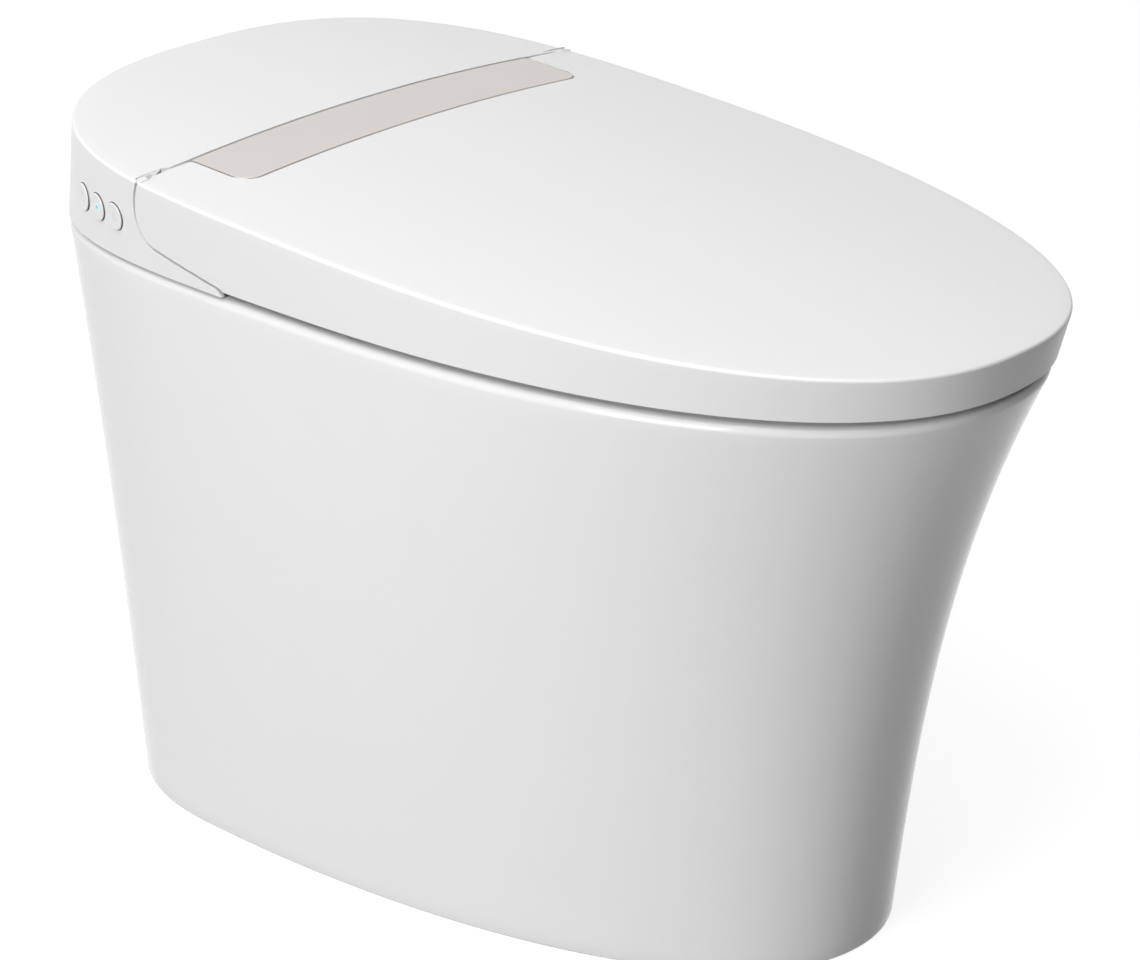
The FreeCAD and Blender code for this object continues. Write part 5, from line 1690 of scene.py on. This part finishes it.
# ---- seat ----
@dataclass
class Seat:
    """The heated seat: a rounded ring and its base plate; its screws are laid out by UndersideScrews."""

    low: float = 0.4066
    thick: float = 0.0144
    inset: float = 0.007
    rear: float = 0.130
    opening: Egg = Egg(0.214, -0.112, 0.150, 0.148, 2.25, 2.25)
    wall: float = 0.0026
    outer_round: float = 0.005
    inner_round: float = 0.006
    dish: float = 0.0008
    base_thick: float = 0.002
    count: int = 320

    def outlines(self) -> tuple[list[Vector], list[Vector]]:
        """Outer and inner outline, matched ray by ray."""
        middle = Vector((0.0, self.opening.widest, 0.0))
        edge = RIM_LINE.inset(self.inset)
        outer = ray_outline(middle, lambda x, y: y < self.rear and edge.inside(x, y), self.count)
        inner = ray_outline(middle, self.opening.inside, self.count)
        return round_corners(outer, 4), inner

    def ring(self, name: str, section: Callable[[float], list[tuple[float, float]]],
             margin: float = 0.0) -> Object:
        """A closed ring with a section that may depend on its width.

        Args:
            name: name of the piece.
            section: from the width, (distance from the outer edge, height) pairs, all round.
            margin: distance of both edges inwards.

        Returns:
            The piece.
        """
        outer, inner = self.outlines()
        columns = []
        for out, into in zip(outer, inner):
            way = (into - out).normalized()
            width = (into - out).length - 2 * margin
            columns.append([out + way * (margin + across) + Vector((0, 0, z))
                            for across, z in section(width)])
        mesh = bmesh.new()
        rows = [[mesh.verts.new(point) for point in column] for column in columns]
        for index, row in enumerate(rows):
            after = rows[(index + 1) % len(rows)]
            for here in range(len(row)):
                there = (here + 1) % len(row)
                mesh.faces.new((row[here], row[there], after[there], after[here]))
        bmesh.ops.recalc_face_normals(mesh, faces=mesh.faces)
        return smooth(as_object(name, mesh), 50)

    def shell_section(self, width: float) -> list[tuple[float, float]]:
        """Section of the hollow top shell, from its outer foot over the top to the inner foot."""
        low, high, wall = self.low, self.low + self.thick, self.wall
        points = [(0.0, low + 0.0006), (0.0, low + 0.004)]
        points += [(p.x, p.y) for p in corner_arc(Vector((0, high - self.outer_round, 0)),
                                                  Vector((0, high, 0)),
                                                  Vector((self.outer_round, high, 0)), 7)]
        flat = width - self.outer_round - self.inner_round
        for step in range(1, 10):
            share = step / 10
            fall = self.dish * sin(pi * share) ** 2
            points.append((self.outer_round + flat * share, high - fall))
        points += [(p.x, p.y) for p in corner_arc(Vector((width - self.inner_round, high, 0)),
                                                  Vector((width, high, 0)),
                                                  Vector((width, high - self.inner_round, 0)), 8)]
        points += [(width, low + 0.0006), (width - 0.0006, low), (width - wall, low),
                   (width - wall, high - self.inner_round), (width - self.inner_round, high - wall),
                   (self.outer_round, high - wall), (wall, high - self.outer_round), (wall, low),
                   (0.0006, low)]
        return points

    def base_section(self, width: float) -> list[tuple[float, float]]:
        """Section of the flat base plate."""
        low, high, ease = self.low, self.low + self.base_thick, 0.0004
        return [(0.0, low + ease), (0.0, high), (width, high), (width, low + ease),
                (width - ease, low), (ease, low)]

    def build(self) -> None:
        """Make the top shell and the base plate."""
        top = self.ring("seat_ring", self.shell_section)
        finish_piece(top, "seat", "seat_plastic", "seat_top_shell")
        base = self.ring("seat_underside", self.base_section, self.wall + 0.0003)
        finish_piece(base, "seat", "seat_plastic", "seat_base_plate")


# ---- push buttons ----
class Sign(Enum):
    """The plain generic sign on a button."""

    SPRAY = "spray"
    DROP = "drop"
    LIGHT = "light"


@dataclass(frozen=True)
class PushButton:
    """A round cap with a dished face, its flange, its stem and its sign."""

    node: str
    body: str
    place: WallPlace
    sign: Sign
    radius: float = 0.009
    proud: float = 0.0013
    length: float = 0.006
    flange: float = 0.0106
    stem: float = 0.0025
    lens: float = 0.0026
    lens_depth: float = 0.0012
    dish: float = 0.00035

    def face_height(self, reach: float) -> float:
        """Height of the dished face at a distance from its middle."""
        share = min(reach / (self.radius - 0.0007), 1.0)
        return self.proud - self.dish * (1 - share * share)

    def cap(self, place: Matrix) -> Object:
        """The turned cap."""
        stem_end = -(self.length + 0.003)
        corners = [(0.0, stem_end), (self.stem, stem_end), (self.stem, -self.length),
                   (self.radius, -self.length), (self.radius, -0.0046), (self.flange, -0.0046),
                   (self.flange, -0.0036), (self.radius, -0.0036)]
        profile = rounded_profile([*corners, (self.radius, -0.0020), (0.0, -0.0020)], 0.00025, 2)[:-4]
        rim = self.radius - 0.0007
        profile += [(p.x, p.y) for p in corner_arc(Vector((self.radius, self.proud - 0.0006, 0)),
                                                   Vector((self.radius, self.proud + 0.00002, 0)),
                                                   Vector((rim, self.proud, 0)), 6)]
        inner = self.lens if self.sign is Sign.LIGHT else 0.0
        steps = 10
        profile += [(reach, self.face_height(reach)) for reach in
                    (rim - (rim - inner) * step / steps for step in range(1, steps))]
        if inner:
            profile += [(inner, self.face_height(inner)), (inner, self.proud - self.lens_depth),
                        (0.0, self.proud - self.lens_depth)]
        else:
            profile.append((0.0, self.face_height(0.0)))
        return turned(self.node.replace("_button", "_cap"), profile, place, 72)

    def strokes(self) -> list[list[tuple[float, float]]]:
        """The sign's lines on the cap's face, in metres."""
        if self.sign is Sign.DROP:
            drop = []
            for angle in around(24, 1):
                pinch = sin(angle / 2) ** 1.6
                drop.append((0.0021 * sin(angle) * pinch, 0.0033 * cos(angle) - 0.0002))
            return [drop]
        head = [(0.0011 * cos(a), 0.0024 + 0.0011 * sin(a)) for a in around(16, 1)]
        arcs = []
        for reach in (0.0020, 0.0034):
            arcs.append([(reach * sin(a), 0.0008 - reach * cos(a))
                         for a in (radians(-58 + 116 * step / 10) for step in range(11))])
        return [head, *arcs]

    def icon(self, place: Matrix) -> Object:
        """The raised lines of the sign."""
        mesh = bmesh.new()
        thick, sides = 0.00016, 8
        for stroke in self.strokes():
            closed = (Vector(stroke[0]) - Vector(stroke[-1])).length < 1e-6
            line = stroke[:-1] if closed else stroke
            rows = []
            for index, (x, y) in enumerate(line):
                before = line[index - 1] if closed or index else line[0]
                after = line[(index + 1) % len(line)] if closed or index < len(line) - 1 else line[-1]
                along = Vector((after[0] - before[0], after[1] - before[1], 0.0)).normalized()
                side = Vector((-along.y, along.x, 0.0))
                middle = Vector((x, y, self.face_height(hypot(x, y))))
                rows.append([mesh.verts.new(place @ (middle + side * thick * cos(angle)
                                                     + Vector((0, 0, thick * sin(angle)))))
                             for angle in around(sides)])
            pairs = list(zip(rows, rows[1:])) + ([(rows[-1], rows[0])] if closed else [])
            for low, high in pairs:
                for here in range(sides):
                    there = (here + 1) % sides
                    mesh.faces.new((low[here], low[there], high[there], high[here]))
            if not closed:
                mesh.faces.new(rows[0])
                mesh.faces.new(rows[-1][::-1])
        bmesh.ops.recalc_face_normals(mesh, faces=mesh.faces)
        return smooth(as_object(self.node.replace("_button", "_sign"), mesh), 60)

    def lens_piece(self, place: Matrix) -> Object:
        """The lit lens, slightly domed."""
        low, top = self.proud - self.lens_depth, self.proud - 0.00002
        corners = [(0.0, low), (self.lens - 0.00004, low), (self.lens - 0.00004, top - 0.0003)]
        dome = [(self.lens * (1 - step / 8), top - 0.0003 * (1 - step / 8) ** 2) for step in range(1, 9)]
        return turned("power_light", [*corners, *dome], place, 48)

    def build(self) -> None:
        """Make the button."""
        place = self.place.matrix()
        cap = finish_piece(self.cap(place), self.body, "button_cap", self.node)
        back = place.inverted()
        # The cap's sides below the wall's face get dark grey as painted shade in the gap around the cap.
        shadow_faces(cap, lambda face: (back @ face.center).z < -0.0001)
        cap.data.materials.append(PAINT.materials["seam_shade"])
        if self.sign is Sign.LIGHT:
            lens = self.lens_piece(place)
            PAINT.materials["led_lens"] = lens_material(place.translation, self.lens)
            finish_piece(lens, self.body, "led_lens", "power_led_lens")
        else:
            mark = self.icon(place)
            PAINT.paint(mark, "icon_grey")
            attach(mark, self.body)


def lens_material(middle: Vector, radius: float) -> Material:
    """A lens with a light behind it, bright in its middle.

    Args:
        middle: middle of the lens.
        radius: its radius.

    Returns:
        The material.
    """
    material = bpy.data.materials.new("led_lens")
    material.use_nodes = True
    tree = material.node_tree
    where = add_node(tree, "ShaderNodeTexCoord").outputs["Object"]
    away = add_node(tree, "ShaderNodeVectorMath", {0: where, 1: middle}, operation="DISTANCE")
    share = add_node(tree, "ShaderNodeMath", {0: away.outputs["Value"], 1: radius * 1.1},
                     operation="DIVIDE")
    glow = add_node(tree, "ShaderNodeValToRGB", {"Fac": share.outputs["Value"]})
    ramp = glow.color_ramp
    ramp.elements[0].position, ramp.elements[0].color = 0.42, (0.045, 0.40, 0.50, 1.0)
    ramp.elements[1].position, ramp.elements[1].color = 1.0, (0.72, 0.86, 0.88, 1.0)
    ramp.elements.new(0.72).color = (0.42, 0.78, 0.84, 1.0)
    feed(tree.nodes["Principled BSDF"], {
        "Roughness": 0.22, "Emission Strength": 0.22, "Base Color": glow.outputs["Color"],
        "Emission Color": glow.outputs["Color"]})
    return material


BUTTONS = (
    PushButton("rear_wash_button", "rear_wash_key", BUTTON_PLACES[0], Sign.DROP),
    PushButton("power_button", "power_key", BUTTON_PLACES[1], Sign.LIGHT),
    PushButton("front_wash_button", "front_wash_key", BUTTON_PLACES[2], Sign.SPRAY),
)


# ---- repeated pieces, laid out by Geometry Nodes ----
class Repeater:
    """Geometry Nodes that lay out copies of a small mesh in a row."""

    def __init__(self) -> None:
        """Build the tree."""
        tree = bpy.data.node_groups.new("copies_in_a_row", "GeometryNodeTree")
        self.tree = tree
        tree.interface.new_socket("Geometry", in_out="INPUT", socket_type="NodeSocketGeometry")
        sockets = {"Count": "NodeSocketInt", "Finish": "NodeSocketMaterial", "Step": "NodeSocketVector"}
        self.names = {label: tree.interface.new_socket(label, in_out="INPUT", socket_type=kind).identifier
                      for label, kind in sockets.items()}
        tree.interface.new_socket("Geometry", in_out="OUTPUT", socket_type="NodeSocketGeometry")
        inlet = add_node(tree, "NodeGroupInput").outputs
        line = add_node(tree, "GeometryNodeMeshLine", {"Count": inlet["Count"], "Offset": inlet["Step"]})
        spread = add_node(tree, "GeometryNodeInstanceOnPoints", {"Points": line.outputs["Mesh"],
                                                                 "Instance": inlet["Geometry"]})
        real = add_node(tree, "GeometryNodeRealizeInstances", {"Geometry": spread.outputs["Instances"]})
        painted = add_node(tree, "GeometryNodeSetMaterial", {"Geometry": real.outputs["Geometry"],
                                                             "Material": inlet["Finish"]})
        add_node(tree, "NodeGroupOutput", {"Geometry": painted.outputs["Geometry"]})

    def lay_out(self, seed: Object, count: int, step: Vector, slot: str, place: Matrix) -> Object:
        """Copies of a small piece as one plain mesh.

        Args:
            seed: the small piece, at the origin; it becomes the result.
            count: how many copies.
            step: the way from one copy to the next.
            slot: the slot of its finish.
            place: where the row's own frame goes.

        Returns:
            The piece, with its place in its mesh.
        """
        copies = seed.modifiers.new("copies", "NODES")
        copies.node_group = self.tree
        copies[self.names["Count"]] = count
        copies[self.names["Finish"]] = PAINT.materials[slot]
        copies[self.names["Step"]] = step
        settle(seed)
        seed.data.transform(place)
        return seed


@dataclass
class InletThread:
    """The brass inlet: a hexagon collar, a bore and a threaded spigot."""

    x: float = 0.070
    z: float = 0.428
    end_y: float = 0.347
    thread: float = 0.014
    radius: float = 0.0104
    root: float = 0.0096
    bore: float = 0.005
    pitch: float = 0.0014

    def build(self, rows: Repeater) -> None:
        """Make the connector.

        Args:
            rows: lays out the thread's turns.
        """
        low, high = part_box("inlet_connector")
        place = Matrix.Translation((self.x, 0.0, self.z)) @ Matrix.Rotation(-pi / 2, 4, "X")
        collar = self.end_y - self.thread
        across = min((high.x - low.x) / 2, (high.z - low.z) / 2 / cos(radians(30)))
        rings = []
        for reach, y in ((across - 0.0008, low.y), (across, low.y + 0.0008), (across, collar - 0.0008),
                         (across - 0.0008, collar)):
            rings.append([place @ Vector((reach * cos(angle), reach * sin(angle), y))
                          for angle in around(6)])
        hexagon = as_object("collar", skin(rings, place @ Vector((0, 0, low.y)),
                                           place @ Vector((0, 0, collar))))
        spigot = turned("spigot", [(0.0, collar - 0.002), (self.root, collar - 0.002),
                                   (self.root, self.end_y - 0.0006), (self.root - 0.0006, self.end_y),
                                   (self.bore + 0.0004, self.end_y), (self.bore, self.end_y - 0.0004),
                                   (self.bore, collar), (0.0, collar)], place, 64)
        section = ((self.root - 0.0005, -0.00055), (self.radius, -0.00008),
                   (self.radius, 0.00008), (self.root - 0.0005, 0.00055))
        mesh = bmesh.new()
        made = [[mesh.verts.new((reach * cos(angle), reach * sin(angle), z))
                 for reach, z in section] for angle in around(64)]
        for index, row in enumerate(made):
            after = made[(index + 1) % len(made)]
            for here in range(4):
                there = (here + 1) % 4
                mesh.faces.new((row[here], after[here], after[there], row[there]))
        bmesh.ops.recalc_face_normals(mesh, faces=mesh.faces)
        turns = int((self.thread - 0.002) / self.pitch)
        start = place @ Matrix.Translation((0, 0, self.end_y - 0.0012 - (turns - 1) * self.pitch))
        thread = rows.lay_out(as_object("thread", mesh), turns, (0.0, 0.0, self.pitch), "brass", start)
        piece = smooth(joined("water_inlet", [hexagon, spigot, thread]))
        finish_piece(piece, "root", "brass", "inlet_connector")


@dataclass
class UndersideScrews:
    """Small cross-head screws that hold the seat's base plate."""

    head: float = 0.0032
    count: int = 12

    def seed(self) -> Object:
        """One screw head, flush in its hole, facing down."""
        profile = rounded_profile([(0.0, 0.0), (self.head, 0.0), (self.head, 0.0009), (0.0, 0.0009)],
                                  0.0003, 2)
        screw = turned("screw", profile, Matrix.Identity(4), 20)
        for turn in (0.0, pi / 2):
            mesh = bmesh.new()
            bmesh.ops.create_cube(mesh, size=1.0)
            bmesh.ops.scale(mesh, verts=mesh.verts, vec=(0.0034, 0.0006, 0.0008))
            bmesh.ops.rotate(mesh, verts=mesh.verts, matrix=Matrix.Rotation(turn, 3, "Z"))
            boolean(screw, as_object("cross", mesh))
        return screw

    def build(self, seat: Seat, rows: Repeater) -> None:
        """Place the screws in two rows, one on each side of the opening.

        Args:
            seat: the seat that they hold together.
            rows: lays out the rows.
        """
        each, pitch = self.count // 2, 0.052
        pieces = []
        for side in (-1, 1):
            start = Matrix.Translation((side * 0.1465, -0.190, seat.low - 0.0004))
            pieces.append(rows.lay_out(self.seed(), each, (0.0, pitch, 0.0), "steel", start))
        finish_piece(smooth(joined("seat_screws", pieces)), "seat", "steel")


# ---- smaller pieces ----
def eased(node: str, slot: str, edge: float, body: str) -> Object:
    """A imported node's shape with its edges rounded.

    Args:
        node: the node.
        slot: the slot of its finish.
        edge: radius of the rounding.
        body: the body that it rides on.

    Returns:
        The piece, which replaces the node.
    """
    mesh = bmesh.new()
    mesh.from_mesh(frame["nodes"][node].data)
    bmesh.ops.remove_doubles(mesh, verts=mesh.verts, dist=2e-6)
    bmesh.ops.dissolve_degenerate(mesh, dist=1e-6, edges=mesh.edges)
    bmesh.ops.dissolve_limit(mesh, angle_limit=radians(1.0), verts=mesh.verts, edges=mesh.edges)
    thing = as_object(f"{node}_eased", mesh)
    round_off(thing, edge, 2, 50.0)
    settle(thing)
    smooth(thing, 40.0)
    weigh_normals(thing)
    return finish_piece(thing, body, slot, node)


@dataclass(frozen=True)
class Eased:
    """A node that gets rounded edges."""

    node: str
    body: str
    edge: float


EASED = (
    Eased("hinge_housing", "root", 0.0004), Eased("seat_hinge_arms", "seat", 0.0008),
    Eased("seat_bumpers", "seat", 0.0010), Eased("lid_bumpers", "lid", 0.0010),
    Eased("deck_gasket", "root", 0.0002), Eased("chassis_plate", "root", 0.0004),
    Eased("deck_bolts", "root", 0.0005), Eased("cable_gland", "root", 0.0004),
    Eased("nozzle_housing", "root", 0.0006), Eased("dryer_duct", "root", 0.0003),
    Eased("dryer_flap", "duct_flap", 0.0003), Eased("outlet_seal", "root", 0.0012),
    Eased("power_supply", "root", 0.0010), Eased("heater_tank", "root", 0.0020),
    Eased("booster_pump", "root", 0.0015), Eased("solenoid_valve", "root", 0.0008),
)


@dataclass
class Internals:
    """The works inside the casings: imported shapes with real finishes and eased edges."""

    slots: dict[str, str] = field(default_factory=dict)

    def build(self) -> None:
        """Ease the pieces that show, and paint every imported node."""
        self.slots = {part["node"]: part["material_slot"] for part in frame["record"]["subparts"]}
        for item in EASED:
            eased(item.node, self.slots[item.node], item.edge, item.body)
        for node, thing in frame["nodes"].items():
            slot = self.slots[node]
            if slot in PAINT.materials:
                PAINT.paint(thing, slot)
                LOG.info("%s painted as %s", node, slot)


# ---- studio ----
@dataclass(frozen=True)
class Lamp:
    """A soft rectangular lamp aimed at the object's middle."""

    name: str
    place: tuple[float, float, float]
    width: float
    height: float
    watts: float
    gloss: bool = True


@dataclass(frozen=True)
class Studio:
    """A plain pale floor, soft lamps from the left and above, and the photograph's camera."""

    azimuth: float = radians(-47.42)
    elevation: float = radians(23.41)
    distance: float = 2.2549
    lens: float = 108.76
    target: tuple[float, float, float] = (0.0, -0.0004, 0.250)
    floor_half: float = 14.0
    floor_glow: float = 0.86
    floor_shade: float = 0.30
    dim: float = 0.02
    bright: float = 0.06
    lamps: tuple[Lamp, ...] = (
        Lamp("side", (-3.42, -0.45, 0.93), 1.6, 1.8, 62.0),
        Lamp("high", (-1.643, 0.0, 3.34), 2.2, 2.2, 55.0),
        Lamp("front", (-1.645, -1.534, 2.931), 2.2, 2.2, 25.0),
        Lamp("top", (0.0, 0.0, 3.75), 2.2, 2.2, 24.0),
        Lamp("rear", (0.85, 3.19, 1.447), 2.2, 2.0, 26.0, gloss=False),
    )

    def camera(self) -> None:
        """Make the camera at the photograph's place."""
        back = Vector((sin(self.azimuth) * cos(self.elevation),
                       -cos(self.azimuth) * cos(self.elevation), sin(self.elevation)))
        data = bpy.data.cameras.new("camera")
        data.lens, data.sensor_width = self.lens, 36.0
        data.clip_start, data.clip_end = 0.05, 60.0
        eye = bpy.data.objects.new("camera", data)
        eye.location = Vector(self.target) + back * self.distance
        eye.rotation_euler = (-back).to_track_quat("-Z", "Y").to_euler()
        bpy.context.scene.collection.objects.link(eye)
        bpy.context.scene.camera = eye

    def light(self) -> None:
        """Make the lamps and the world."""
        middle = Vector(self.target)
        for lamp in self.lamps:
            data = bpy.data.lights.new(lamp.name, "AREA")
            data.shape, data.size, data.size_y = "RECTANGLE", lamp.width, lamp.height
            data.energy = lamp.watts
            thing = bpy.data.objects.new(lamp.name, data)
            thing.location = lamp.place
            thing.visible_glossy = lamp.gloss
            thing.rotation_euler = (middle - Vector(lamp.place)).to_track_quat("-Z", "Y").to_euler()
            bpy.context.scene.collection.objects.link(thing)
        world = bpy.data.worlds.new("studio")
        bpy.context.scene.world = world
        world.use_nodes = True
        tree = world.node_tree
        tree.nodes.clear()
        where = add_node(tree, "ShaderNodeTexCoord").outputs["Generated"]
        bright_side = Vector((-0.72, 0.05, 0.69)).normalized()
        toward = add_node(tree, "ShaderNodeVectorMath", {0: where, 1: bright_side},
                          operation="DOT_PRODUCT")
        level = add_node(tree, "ShaderNodeMapRange", {
            "Value": toward.outputs["Value"], "From Min": -0.75, "From Max": 0.95,
            "To Min": self.dim, "To Max": self.bright}, interpolation_type="SMOOTHSTEP")
        soft = add_node(tree, "ShaderNodeBackground", {"Strength": level.outputs["Result"]})
        plain = add_node(tree, "ShaderNodeBackground", {"Color": (1.0, 1.0, 1.0, 1.0)})
        mixed = add_node(tree, "ShaderNodeMixShader", {0: seen_ray(tree), 1: soft.outputs[0],
                                                       2: plain.outputs[0]})
        add_node(tree, "ShaderNodeOutputWorld", {"Surface": mixed.outputs[0]})

    def floor(self) -> None:
        """Make the floor, which glows a little for the camera and keeps the object's shadow."""
        half = self.floor_half
        ground = as_object("floor", sheet([[Vector((x * half, y * half, -0.0003)) for x in (-1, 1)]
                                           for y in (-1, 1)]))
        material = bpy.data.materials.new("pale_floor")
        material.use_nodes = True
        tree = material.node_tree
        tree.nodes.clear()
        matt = add_node(tree, "ShaderNodeBsdfDiffuse", {"Color": (*(self.floor_shade,) * 3, 1.0)})
        strength = add_node(tree, "ShaderNodeMath", {0: seen_ray(tree), 1: self.floor_glow},
                            operation="MULTIPLY")
        glow = add_node(tree, "ShaderNodeEmission", {"Strength": strength.outputs["Value"]})
        both = add_node(tree, "ShaderNodeAddShader", {0: matt.outputs[0], 1: glow.outputs[0]})
        add_node(tree, "ShaderNodeOutputMaterial", {"Surface": both.outputs[0]})
        ground.data.materials.append(material)

    def build(self) -> None:
        """Make the camera, the light and the floor."""
        bpy.context.scene.view_settings.view_transform = "Standard"
        self.camera()
        self.light()
        self.floor()


def seen_ray(tree: NodeTree) -> NodeSocket:
    """Whether a ray comes from the camera, or from it by way of gloss or glass.

    Args:
        tree: the tree that asks.

    Returns:
        A socket that is 1 for such rays.
    """
    path = add_node(tree, "ShaderNodeLightPath").outputs
    seen = path["Is Camera Ray"]
    for way in ("Is Glossy Ray", "Is Transmission Ray"):
        seen = add_node(tree, "ShaderNodeMath", {0: seen, 1: path[way]}, operation="ADD",
                        use_clamp=True).outputs["Value"]
    return seen


def main() -> None:
    """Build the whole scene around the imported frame."""
    logging.basicConfig(level=logging.INFO, format="%(name)s: %(message)s")
    Studio().build()
    PAINT.fill()
    Ceramic().build()
    LidShell().build()
    LidPanel().build()
    RearHousing().build()
    Trim().build()
    seat = Seat()
    seat.build()
    for button in BUTTONS:
        button.build()
    rows = Repeater()
    InletThread().build(rows)
    UndersideScrews().build(seat, rows)
    Internals().build()


if __name__ == "__main__":
    main()
